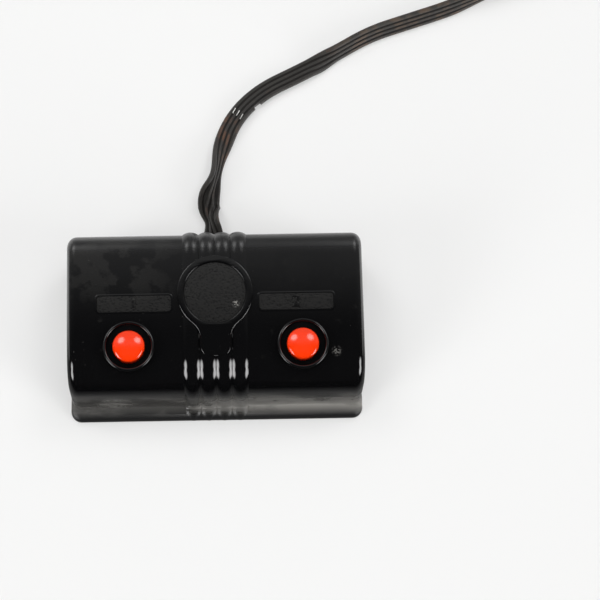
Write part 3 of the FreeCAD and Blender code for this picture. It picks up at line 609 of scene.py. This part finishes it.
def metal_finish(name, tint, rough, brushed=(1, 1, 1)):
    """A worn bare metal with stains and fine marks, which a brushed one has along one direction."""
    metal = Finish(name, Metallic=1.0)
    marks = metal.noise(2600.0, 5.0, 0.7, brushed)
    stain = metal.noise(260.0, 4.0).over(0.45, 0.75)
    darker = tuple(c * 0.55 for c in tint)
    metal.set(Base_Color=metal.mix(stain * 0.5, tint, darker),
              Roughness=rough + marks * 0.2 + stain * 0.12)
    return metal.bump(marks, 0.00002).material


def painted_finish(name, tint, rough=0.42):
    """A thin black coating with an orange-peel surface and rubbed spots."""
    paint = Finish(name, IOR=1.5)
    rubbed = paint.noise(420.0, 5.0, 0.65).over(0.62, 0.75)
    paler = tuple(min(1.0, c * 3.0 + 0.02) for c in tint)
    paint.set(Base_Color=paint.mix(rubbed * 0.7, tint, paler), Roughness=rough + rubbed * 0.2)
    return paint.bump(paint.noise(1100.0, 2.0) * 0.4 + rubbed * 0.2, 0.00006).material


def board_finish(name, tint):
    """Laminated board: a fine paper grain with darker fibres."""
    board = Finish(name, IOR=1.5)
    fibres = board.noise(1500.0, 6.0, 0.7, (0.12, 1.0, 1.0))
    darker = tuple(c * 0.5 for c in tint)
    board.set(Base_Color=board.mix(fibres.over(0.35, 0.7), tint, darker),
              Roughness=0.38 + fibres * 0.2)
    return board.bump(fibres, 0.00004).material


def numeral_finish(colours):
    """The raised numerals: the case's moulding, paler where hands have rubbed it."""
    moulding = Finish("numeral_moulding", IOR=1.6)
    worn = moulding.noise(1400.0, 5.0, 0.6).over(0.4, 0.7)
    moulding.set(Base_Color=moulding.mix(worn * 0.06, colours.case, colours.dust),
                 Roughness=0.14 + worn * 0.1)
    return moulding.bump(moulding.noise(2500.0, 3.0), 0.00003).material


# ---------------------------------------------------------------- camera

SENSOR, LENS = 36, 86.64  # millimetres
CAMERA_SHIFT = 0.141667  # sideways, as a share of the view's width
CAMERA_PLACE = (0, -0.0859, 0.3559)  # metres
CAMERA_TILT, CAMERA_TURN = 15, -1  # degrees, from straight down


class STATION_OT_camera(bpy.types.Operator):
    """Set the camera in front of and high above the case."""
    bl_idname = "station.camera"
    bl_label = "Camera"

    def execute(self, context):
        data = bpy.data.cameras.new("camera")
        data.sensor_width = SENSOR
        data.lens = LENS
        data.shift_x = CAMERA_SHIFT
        data.clip_start = 0.01
        camera = bpy.data.objects.new("camera", data)
        context.collection.objects.link(camera)
        tilt = Matrix.Rotation(math.radians(CAMERA_TILT), 4, "X")
        turn = Matrix.Rotation(math.radians(CAMERA_TURN), 4, "Z")
        camera.matrix_world = Matrix.Translation(CAMERA_PLACE) @ tilt @ turn
        context.scene.camera = camera
        return {"FINISHED"}


# ---------------------------------------------------------------- ribbon cable

# The route from the case's rear to the coil, in millimetres: the same points as the solid's.
ROUTE = [
    (0.0, 22.3, 3.5), (0.0, 28.2, 3.5), (-1.5, 34.5, 1.9), (0.6, 41.6, 1.35), (2.2, 50.0, 1.35),
    (6.0, 58.9, 1.35), (13.2, 65.9, 1.35), (22.8, 70.6, 1.35), (32.4, 75.6, 1.35), (42.2, 81.4, 1.35),
    (52.6, 84.8, 1.35), (63.4, 88.3, 1.35), (71.3, 91.6, 1.5),
]
COIL_CENTRE = Vector((77.0, 125.5, 3.0))
COIL_OUTER, COIL_PITCH, COIL_WAVER = 30.4, 1.9, 0.12
COIL_START, COIL_TURNS, COIL_POINTS = -84, 4.85, 16  # degrees, turns, points in a turn
STRANDS = 4
LOOSE_STRANDS = (13, 12)  # middle and half length of the stretch where the strands part
STRAND_STRAY = 0.6  # room that the strands have there
GROOVE_FACES = (3, 4, 5, 8, 9, 10, 13, 14, 15)  # of the 21 faces across one side of the ribbon


def coil_points():
    """The ribbon's turns on edge, wound inwards from where the run comes in."""
    points = []
    count = round(COIL_TURNS * COIL_POINTS)
    for step in range(count + 1):
        turn = step / COIL_POINTS
        angle = math.radians(COIL_START) + math.tau * turn
        radius = COIL_OUTER - COIL_PITCH * turn + COIL_WAVER * math.sin(3.1 * angle)
        points.append(COIL_CENTRE + radius * Vector((math.cos(angle), math.sin(angle), 0)))
    return points


def centreline(points):
    """The smooth line of a route: points read from a curve that has it as control points, in metres."""
    curve = bpy.data.curves.new("route", "CURVE")
    curve.dimensions = "3D"
    curve.resolution_u = 8
    spline = curve.splines.new("NURBS")
    spline.points.add(len(points) - 1)
    for place, point in zip(points, spline.points):
        point.co = (*(Vector(place) * MM), 1)
    spline.order_u = 3
    spline.use_endpoint_u = True
    holder = bpy.data.objects.new("route", curve)
    bpy.context.collection.objects.link(holder)
    mesh = bpy.data.meshes.new_from_object(holder.evaluated_get(bpy.context.evaluated_depsgraph_get()))
    line = [vertex.co.copy() for vertex in mesh.vertices]
    bpy.data.objects.remove(holder)
    bpy.data.meshes.remove(mesh)
    return line


def ease(place, start, end):
    """A smooth rise along the ribbon, from 0 at the start to 1 at the end."""
    share = min(1.0, max(0.0, (place - start) / (end - start)))
    return share * share * (3 - 2 * share)


def bell(place, centre, half):
    """A smooth bump along the ribbon, 1 at its centre and 0 a half width away."""
    away = abs(place - centre) / half
    return 0.0 if away >= 1 else (0.5 + 0.5 * math.cos(math.pi * away))


def ribbon_lean(place, coil_start):
    """How far the ribbon is turned from lying flat, in degrees, at a distance along it in millimetres."""
    at_wall, behind_case = 58 * bell(place, 7.5, 6), 66 * bell(place, 21, 14)
    past_bend = 57 * ease(place, 61, 71)
    on_edge = ease(place, coil_start - 8, coil_start + 8)
    return (behind_case + past_bend - at_wall) * (1 - on_edge) + 90 * on_edge


def strand_drift(strand, place):
    """How far a strand strays across and up from its place in the ribbon, in millimetres."""
    spread, lift = 0.32, 0.45
    loose = bell(place, *LOOSE_STRANDS)
    outward = strand - (STRANDS - 1) / 2
    across = outward * spread * loose * (1 + 0.4 * math.sin(place * 0.5))
    return across, lift * loose * math.sin(2.3 * strand + place * 0.38)


def ribbon_section(place, width, thick):
    """(across, up) points round the ribbon in millimetres: strand by strand over it, and back under it."""
    radius = thick / 2
    pitch = (width - thick) / (STRANDS - 1)
    points = []
    for face in (1, -1):
        for strand in range(STRANDS)[::face]:
            drift, lift = strand_drift(strand, place)
            middle = (strand - (STRANDS - 1) / 2) * pitch + drift
            points += [(middle - face * radius * math.cos(math.radians(a)),
                        lift + face * radius * math.sin(math.radians(a))) for a in (30, 60, 90, 120, 150)]
        points.append((middle + face * radius, lift))
    return points


def ribbon_mesh(name, line, width, thick, coil_start):
    """A ribbon of round strands joined side by side, carried along a line and kept above the table."""
    gap = 0.05
    rings = []
    travelled = 0.0
    for index, point in enumerate(line):
        ahead = (line[min(index + 1, len(line) - 1)] - line[max(index - 1, 0)]).normalized()
        if index:
            travelled += (point - line[index - 1]).length / MM
        side = ahead.cross(Z_AXIS).normalized()
        lean = math.radians(ribbon_lean(travelled, coil_start))
        turn = Matrix.Rotation(lean, 3, ahead)
        across, up = turn @ side, turn @ side.cross(ahead)
        stray = STRAND_STRAY * bell(travelled, *LOOSE_STRANDS)
        reach = ((width - thick) / 2 + stray) * abs(math.sin(lean)) + thick / 2 + stray
        middle = point + Z_AXIS * max(0.0, (reach + gap) * MM - point.z)
        section = ribbon_section(travelled, width, thick)
        rings.append([middle + (across * x + up * z) * MM for x, z in section])
    count = len(rings[0])
    last = (len(rings) - 1) * count
    faces = [(a + i, a + (i + 1) % count, a + count + (i + 1) % count, a + count + i)
             for a in range(0, last, count) for i in range(count)]
    faces += [tuple(range(count)), tuple(reversed(range(last, last + count)))]
    mesh = bpy.data.meshes.new(name)
    mesh.from_pydata([tuple(v) for ring in rings for v in ring], [], faces)
    marks = mesh.attributes.new("groove", "INT", "FACE")
    for number in range(last):
        marks.data[number].value = int(number % (count // 2) in GROOVE_FACES)
    obj = bpy.data.objects.new(name, mesh)
    bpy.context.collection.objects.link(obj)
    return obj


def nick(ribbon):
    """Tear a short piece out of the outermost strand, at the bend."""
    tool = block("nick", (-1.1, -2.0, -1), (1.1, -1.15, 4))
    turn = Matrix.Rotation(math.radians(38), 4, "Z")
    set_in_place(tool, Matrix.Translation((11.2 * MM, 63.0 * MM, 0)) @ turn)
    return boolean(ribbon, tool, "DIFFERENCE")


class STATION_OT_cable(bpy.types.Operator):
    """Lay the ribbon cable from the case's rear into its tied coil."""
    bl_idname = "station.cable"
    bl_label = "Ribbon cable"

    def execute(self, context):
        sizes, colours = context.scene.station_sizes, context.scene.station_colours
        line = centreline(ROUTE + coil_points())
        run = centreline(ROUTE)
        coil_start = sum((b - a).length for a, b in zip(run, run[1:])) / MM
        width, thick = sizes.ribbon_width / MM, sizes.ribbon_thick / MM
        ribbon = ribbon_mesh("ribbon_cable", line, width, thick, coil_start)
        with editing(ribbon):
            bpy.ops.mesh.select_all(action="SELECT")
            bpy.ops.mesh.normals_make_consistent(inside=False)
        vinyl = cable_finish(colours)
        nick(ribbon)
        finish(ribbon, "case", vinyl, "cable_run", "cable_coil", angle=50)
        # Painted shade in the grooves between the strands.
        self.paint_groove_shade(ribbon)
        self.bare_strands()
        total = sum((b - a).length for a, b in zip(line, line[1:]))
        print("ribbon length", round(total, 4))
        coat(vinyl, "cable_tail", "cable_end_leads", *(f"lead_wire_{n + 1}" for n in range(STRANDS)))
        return {"FINISHED"}

    def paint_groove_shade(self, ribbon):
        """Give the faces that were marked between the strands the painted groove shade."""
        ribbon.data.materials.append(groove_shade_finish())
        marks = ribbon.data.attributes["groove"].data
        for face, mark in zip(ribbon.data.polygons, marks):
            face.material_index = 1 if mark.value else 0

    def bare_strands(self):
        """A few bright conductor strands where the vinyl has split."""
        copper = metal_finish("tinned_strands", (0.85, 0.84, 0.82), 0.2)
        lying, height = Matrix.Rotation(math.radians(90), 4, "Y"), 1.98
        places = ((5.9, 60.4, 62), (6.9, 59.7, 58), (7.8, 58.7, 60))
        for number, (x, y, degrees) in enumerate(places, 1):
            strand = rod(f"bare_strand_{number}", 0, 0, low=-0.8, high=0.8, radius=0.14, segments=12)
            turn = Matrix.Rotation(math.radians(degrees), 4, "Z")
            set_in_place(strand, Matrix.Translation((x * MM, y * MM, height * MM)) @ turn @ lying)
            finish(strand, "case", copper)


# ---------------------------------------------------------------- moulded case

def case_block(sizes, outline, inset=0.0):
    """The case's outer form, or with an inset the room inside its walls, down to below the foot."""
    half = sizes.case_width / MM / 2 - inset
    pen = Pen("case", (-half, outline.rear - inset, BELOW))
    outline.sweep(pen, BELOW, BELOW)
    pen.face().line(2 * half, 0, 0)
    body = pen.outwards().done()
    rounding = sizes.side_round / MM - inset

    def along_side(a, b):
        """True of the edges where the swept surface meets a side, except the lowest ones."""
        on_side = abs(abs(a.x) - half * MM) < 1e-6 and abs(a.x - b.x) < 1e-6
        return on_side and max(a.z, b.z) > (BELOW + 0.1) * MM

    if rounding > 0:
        bevel_edges(body, along_side, rounding, 7)
    return body


def foot_flange(sizes):
    """The flange round the foot, with rounded corners and a rounded upper edge."""
    top = sizes.flange_height / MM
    corner, edge = 2.6, 1.6
    flange = block("flange", (-FLANGE_HALF, FLANGE_FRONT, BELOW), (FLANGE_HALF, FLANGE_REAR, top))
    bevel_edges(flange, upright, corner, 8)
    return bevel_edges(flange, above(top - 0.01), edge, 7)


def rib_band(sizes, outline):
    """Four half-round ribs side by side, from the rear foot over the top and down the front flange."""
    ribs, pitch, crest, valley, root = 4, sizes.rib_pitch / MM, sizes.rib_rise / MM, 0.06, -0.6
    rise = crest - valley
    radius = (pitch ** 2 / 4 + rise ** 2) / (2 * rise)
    half_angle = math.degrees(math.asin(pitch / 2 / radius))
    pen = Pen("ribs", (-ribs / 2 * pitch, outline.rear + root, BELOW))
    pen.line(0, valley - root, 0)
    for rib in range(ribs):
        centre = ((rib - (ribs - 1) / 2) * pitch, outline.rear + crest - radius, BELOW)
        pen.arc(centre, -2 * half_angle, 16)
    pen.line(0, root - valley, 0)
    # A face closes the section, and only its border is carried on.
    pen.face()
    bpy.ops.mesh.delete(type="ONLY_FACE")
    pen.all()
    flange, turn_in, turn_out, sunk = sizes.flange_height / MM, 0.8, 1.6, 0.05
    front = FLANGE_FRONT + crest - sunk
    stop = flange + turn_in * (1 - math.sin(outline.lean))
    outline.sweep(pen, BELOW, stop)
    centre = outline.front_point(stop) + outline.out * turn_in
    pen.arc(centre, -(90 - math.degrees(outline.lean)), 8, X_AXIS)
    pen.line(0, front + turn_out - centre.y, 0)
    pen.arc((0, front + turn_out, flange - turn_out), 90, 10, X_AXIS)
    pen.line(0, 0, BELOW - (flange - turn_out))
    return pen.close_ends().done()


def keyhole_pad(sizes, outline):
    """The raised keyhole field between the buttons: a straight neck that flares into a round head."""
    rise, root = sizes.pad_rise / MM, -0.6
    neck, neck_front, neck_rear, corner, flare = 3.6, -9.2, -5.58, 2.0, 5.5
    half, straight = neck - corner, neck_front + corner
    side = neck_rear - straight
    swing = math.degrees(math.atan2(PAD_HEAD - neck_rear, neck + flare))
    pen = Pen("pad", (-half, neck_front, root))
    pen.line(2 * half, 0, 0).arc((half, straight, 0), 90, 8)
    pen.line(0, side, 0, steps=2).arc((neck + flare, neck_rear, 0), -swing, 12)
    pen.arc((0, PAD_HEAD, 0), 180 + 2 * swing, 96)
    pen.arc((-neck - flare, neck_rear, 0), -swing, 12).line(0, -side, 0, steps=2)
    pen.arc((-half, straight, 0), 90, 8)
    pen.face().line(0, 0, rise - root)
    pad = pen.outwards().done()
    bevel_edges(pad, above(rise - 0.01), 0.22, 4)
    return lay_on_crown(pad, outline)


def disc_recess(sizes, outline):
    """What is cut for the sunk disc in the pad's head, with its rounded rim."""
    radius, rise, floor, edge, top = sizes.disc_radius / MM, sizes.pad_rise / MM, 0.35, 0.15, 3
    rim = reversed(rounded((radius + edge, rise - edge), edge, 90, 180, 4))
    recess = turned("disc", [(0, floor), (radius, floor), *rim, (radius + edge, top), (0, top)])
    set_in_place(recess, Matrix.Translation((0, PAD_HEAD * MM, 0)))
    return lay_on_crown(recess, outline)


def rounded_plate(name, x, y, width, depth, low, high, radius):
    """A plate with rounded upright edges, centred on a place, in millimetres."""
    plate = block(name, (x - width / 2, y - depth / 2, low), (x + width / 2, y + depth / 2, high))
    return bevel_edges(plate, upright, radius, 6)


def label_field(case, outline, side):
    """A shallow sunk field with a thin raised border, for a label behind each button."""
    x, y = side * LABEL_PLACE[0], LABEL_PLACE[1]
    width, depth = LABEL_SIZE
    edge, rise, sink, corner = 0.35, 0.06, -0.25, 0.8
    border = rounded_plate("border", x, y, width + 2 * edge, depth + 2 * edge, -0.5, rise, corner + edge)
    bevel_edges(border, above(rise - 0.01), 0.05, 2)
    boolean(case, lay_on_crown(border, outline), "UNION")
    field = rounded_plate("field", x, y, width, depth, sink, 1.0, corner)
    return boolean(case, lay_on_crown(field, outline), "DIFFERENCE")


def turned(name, points):
    """A ring or cap turned about the upright axis from the (radius, height) points of its outline."""
    pen = Pen(name, (points[0][0], 0, points[0][1]))
    for (r0, z0), (r1, z1) in zip(points, points[1:]):
        pen.line(r1 - r0, 0, z1 - z0)
    pen.all()
    bpy.ops.mesh.spin(steps=ROUND_STEPS, angle=math.tau, center=(0, 0, 0), axis=Z_AXIS)
    return pen.weld().outwards().done()


def rounded(centre, radius, start, stop, steps):
    """(radius, height) points along an arc, from one angle to another in degrees."""
    angles = [math.radians(start + (stop - start) * i / steps) for i in range(steps + 1)]
    return [(centre[0] + radius * math.cos(a), centre[1] + radius * math.sin(a)) for a in angles]


def button_place(sizes, outline, side):
    """Where a button stands: upright, with its collar's rim a little above the top at the well's rear."""
    proud = 0.3
    height = outline.top((sizes.button_y + sizes.well_radius) / MM) + proud
    return Matrix.Translation((side * sizes.button_x, sizes.button_y, height * MM))


def collar():
    """The ring round a button: a tube through the top, a steep well and a rounded rim."""
    bore, floor_radius, floor_height, floor_slope = 3.93, 5.3, -1.2, 0.14
    rim_radius, rim_half, rim_height = 5.8, 0.36, 0.02
    rim = rounded((rim_radius, rim_height), rim_half, 180, 0, 14)
    ring = turned("collar", [(bore, COLLAR_LOW), (bore, floor_height), (floor_radius, floor_height), *rim,
                             (rim_radius + rim_half, COLLAR_LOW), (bore, COLLAR_LOW)])
    for vertex in ring.data.vertices:
        if abs(vertex.co.z - floor_height * MM) < 1e-6:
            vertex.co.z += floor_slope * vertex.co.y
    return ring


def numeral(outline, text, side):
    """A plain raised numeral in the middle of a label field."""
    foot = -0.2
    bpy.ops.object.select_all(action="DESELECT")
    bpy.ops.object.text_add(location=(0, 0, 0))
    sign = bpy.context.object
    sign.data.body = text
    sign.data.size = 3.9 * MM
    sign.data.align_x, sign.data.align_y = "CENTER", "CENTER"
    sign.data.extrude = 0.16 * MM
    sign.data.offset = 0.13 * MM
    sign.data.bevel_depth = 0.02 * MM
    bpy.ops.object.convert(target="MESH")
    sign.location = (side * LABEL_PLACE[0] * MM, LABEL_PLACE[1] * MM, foot * MM)
    bpy.ops.object.transform_apply()
    return lay_on_crown(weld(sign), outline)


def posts(case, side):
    """The posts that the base plate and the terminal board are screwed to."""
    boolean(case, rod("plate_post", side * 28.5, 12.5, low=2.6, high=19.2, radius=3.0), "UNION")
    boolean(case, rod("board_post", side * 13.5, 2.6, low=7.8, high=19.0, radius=2.3), "UNION")


def button_well(case, sizes, outline, side):
    """The well for a button, with its collar."""
    place = button_place(sizes, outline, side)
    well = rod("well", 0, 0, low=COLLAR_LOW + 0.1, high=6, radius=6.0, segments=ROUND_STEPS)
    boolean(case, set_in_place(well, place), "DIFFERENCE")
    boolean(case, set_in_place(collar(), place), "UNION")


def cable_notch(case):
    """The notch low in the rear wall, where the cable leaves."""
    boolean(case, block("notch", (-2.9, 18, 2.6), (2.9, 24, 4.55)), "DIFFERENCE")


class STATION_OT_case(bpy.types.Operator):
    """Mould the case: walls, flange, ribs, keyhole pad, collars and label fields."""
    bl_idname = "station.case"
    bl_label = "Case"

    def execute(self, context):
        sizes, colours = context.scene.station_sizes, context.scene.station_colours
        outline = Outline(sizes)
        case = case_block(sizes, outline)
        case.name = "case_moulding"
        boolean(case, foot_flange(sizes), "UNION")
        boolean(case, rib_band(sizes, outline), "UNION")
        cut_at_table(case)
        boolean(case, keyhole_pad(sizes, outline), "UNION")
        boolean(case, disc_recess(sizes, outline), "DIFFERENCE")
        boolean(case, case_block(sizes, outline, sizes.wall / MM), "DIFFERENCE")
        for side in SIDES.values():
            posts(case, side)
            button_well(case, sizes, outline, side)
            label_field(case, outline, side)
        cable_notch(case)
        finish(case, "case", case_finish(colours), "case_shell")
        for (name, side), text in zip(SIDES.items(), "12"):
            sign = numeral(outline, text, side)
            sign.name = name + "_numeral"
            finish(sign, "case", numeral_finish(colours))
        return {"FINISHED"}


# ---------------------------------------------------------------- buttons

def button_outline(radius):
    """(radius, height) points down a button: dome, shoulder, skirt, the head that stops it, and nub."""
    dome_centre, dome_radius, meet = -6.086, 7.5, 62.9
    shoulder, shoulder_height = 0.8, -0.12
    head_radius, head_high, head_low = 4.8, -4.65, -5.65
    nub_radius, nub_centre = 1.2, -5.95
    return [(0, dome_centre + dome_radius),
            *rounded((0, dome_centre), dome_radius, 90, meet, 14)[1:],
            *rounded((radius - shoulder, shoulder_height), shoulder, meet, 0, 8)[1:],
            (radius, head_high), (head_radius, head_high), (head_radius, head_low),
            *rounded((0, nub_centre), nub_radius, 0, -90, 8)]


class STATION_OT_buttons(bpy.types.Operator):
    """Turn the two domed buttons."""
    bl_idname = "station.buttons"
    bl_label = "Buttons"

    def execute(self, context):
        sizes, colours = context.scene.station_sizes, context.scene.station_colours
        outline = Outline(sizes)
        red = button_finish(colours)
        model = turned("button", button_outline(sizes.button_radius / MM))
        for name, side in SIDES.items():
            cap = copy_of(model, name + "_cap")
            set_in_place(cap, button_place(sizes, outline, side))
            finish(cap, name + "_button", red, name + "_button")
        bpy.data.objects.remove(model)
        return {"FINISHED"}


# ---------------------------------------------------------------- pieces inside

class STATION_OT_inner_parts(bpy.types.Operator):
    """Finish the base plate, board, contacts, fasteners and the coil's tie."""
    bl_idname = "station.inner_parts"
    bl_label = "Plate, board and contacts"

    def execute(self, context):
        colours = context.scene.station_colours
        coat(painted_finish("painted_plate", (0.012, 0.012, 0.013)), "base_plate")
        coat(metal_finish("zinc_screws", colours.steel, 0.28), "base_screws", "board_screws")
        coat(metal_finish("strap_steel", colours.steel, 0.34, (1, 0.1, 1)), "cable_strap")
        coat(metal_finish("brass_rivets", (0.78, 0.58, 0.3), 0.25),
             "foot_rivets", "strip_rivets", "strap_rivets")
        coat(metal_finish("tinned_lugs", (0.66, 0.65, 0.62), 0.3, (0.1, 1, 1)), "solder_lugs")
        coat(board_finish("laminated_board", colours.board), "terminal_board")
        coat(board_finish("pressed_sheet", (0.2, 0.17, 0.12)), "insulating_sheet")
        bronze = metal_finish("spring_bronze", colours.bronze, 0.26, (0.08, 1, 1))
        silver = metal_finish("contact_silver", (0.86, 0.84, 0.8), 0.2)
        for side in SIDES:
            coat(bronze, side + "_contact_blade", side + "_blade_foot", side + "_fixed_strip")
            coat(silver, side + "_moving_contact", side + "_fixed_contact")
        coat(painted_finish("coil_tie", (0.02, 0.02, 0.02), 0.5), "coil_tie")
        return {"FINISHED"}


# ---------------------------------------------------------------- stage

def overhead_lamp(strength):
    """A broad soft lamp overhead that lights the colours and is left out of reflections."""
    data = bpy.data.lights.new("overhead", "AREA")
    data.shape, data.size, data.energy = "SQUARE", 1.4, strength
    obj = bpy.data.objects.new("overhead", data)
    obj.location = (0, 0.1, 1.1)
    obj.visible_glossy = False
    bpy.context.collection.objects.link(obj)


def floor_material(brightness):
    """A matt floor that is pale to the camera and keeps shadows; reflections find it darker in front."""
    floor = Finish("floor", Roughness=0.9, Specular_IOR_Level=0.0)
    camera = floor.node("ShaderNodeLightPath", {}, {}, "Is Camera Ray")
    glossy = floor.node("ShaderNodeLightPath", {}, {}, "Is Glossy Ray")
    y = floor.axis("Y")
    unlit = glossy * (1 - y.over(-44, -19) * 0.16 - y.over(-10, 15) * 0.84)
    pale = (brightness, brightness, brightness * 0.995)
    tint = floor.mix(camera, pale, tuple(c * 0.55 for c in pale))
    floor.set(Base_Color=floor.mix(unlit, tint, (0, 0, 0)), Emission_Color=(*pale, 1),
              Emission_Strength=(camera + glossy - unlit) * 0.45)
    return floor.material


class STATION_OT_stage(bpy.types.Operator):
    """Set the pale floor, the backdrop and the soft studio lamps."""
    bl_idname = "station.stage"
    bl_label = "Floor and lamps"

    def execute(self, context):
        settings = context.scene.station_stage
        bpy.ops.object.select_all(action="DESELECT")
        bpy.ops.mesh.primitive_plane_add(size=8)
        floor = context.object
        floor.name = "floor"
        floor.location.z = -0.1 * MM
        bpy.ops.object.transform_apply()
        floor.data.materials.append(floor_material(settings.floor))
        overhead_lamp(9.0 * settings.overhead)
        self.world(context)
        context.scene.view_settings.view_transform = "Standard"
        return {"FINISHED"}

    def world(self, context):
        """Soft glows to the rear and low in front, dark above; the camera sees a pale backdrop all round."""
        settings = context.scene.station_stage
        world = bpy.data.worlds.new("studio")
        context.scene.world = world
        sky = Sky(world)
        sky.shader.inputs["Color"].default_value = (1, 1, 1, 1)
        level = sky.node("ShaderNodeLightPath", {}, {}, "Is Camera Ray") * 0.8
        level += sky.axis("Y").over(-0.05, 0.4) * 0.33
        for side in SIDES.values():
            level += sky.glow((side * 0.47, 0.52, 0.71), 0, 15) * (4.8 * settings.high)
            level += sky.glow((side * 0.82, -0.37, 0.44), 1, 15) * (8.0 * settings.low)
            level += sky.glow((side * 0.77, -0.6, 0.19), 1, 16) * (8.0 * settings.low)
        sky.join(level + 0.015, sky.shader.inputs["Strength"])


# ---------------------------------------------------------------- panel and registration

PIECES = (STATION_OT_camera, STATION_OT_cable, STATION_OT_case, STATION_OT_buttons, STATION_OT_inner_parts,
          STATION_OT_stage)


class STATION_PT_panel(bpy.types.Panel):
    """The station's settings and the steps that make it."""
    bl_idname = "STATION_PT_panel"
    bl_label = "Control Station"
    bl_space_type = "VIEW_3D"
    bl_region_type = "UI"
    bl_category = "Station"

    def draw(self, context):
        scene = context.scene
        for settings in (scene.station_sizes, scene.station_colours, scene.station_stage):
            box = self.layout.box()
            for name in settings.bl_rna.properties.keys():
                if name not in ("name", "rna_type"):
                    box.prop(settings, name)
        for piece in PIECES:
            self.layout.operator(piece.bl_idname)


CLASSES = (StationSizes, FinishColours, StageSettings, *PIECES, STATION_PT_panel)


def register():
    for cls in CLASSES:
        bpy.utils.register_class(cls)
    bpy.types.Scene.station_sizes = PointerProperty(type=StationSizes)
    bpy.types.Scene.station_colours = PointerProperty(type=FinishColours)
    bpy.types.Scene.station_stage = PointerProperty(type=StageSettings)


def unregister():
    del bpy.types.Scene.station_stage
    del bpy.types.Scene.station_colours
    del bpy.types.Scene.station_sizes
    for cls in reversed(CLASSES):
        bpy.utils.unregister_class(cls)


def main():
    register()
    bpy.ops.station.camera()
    bpy.ops.station.cable()
    bpy.ops.station.case()
    bpy.ops.station.buttons()
    bpy.ops.station.inner_parts()
    bpy.ops.station.stage()


if __name__ == "__main__":
    main()
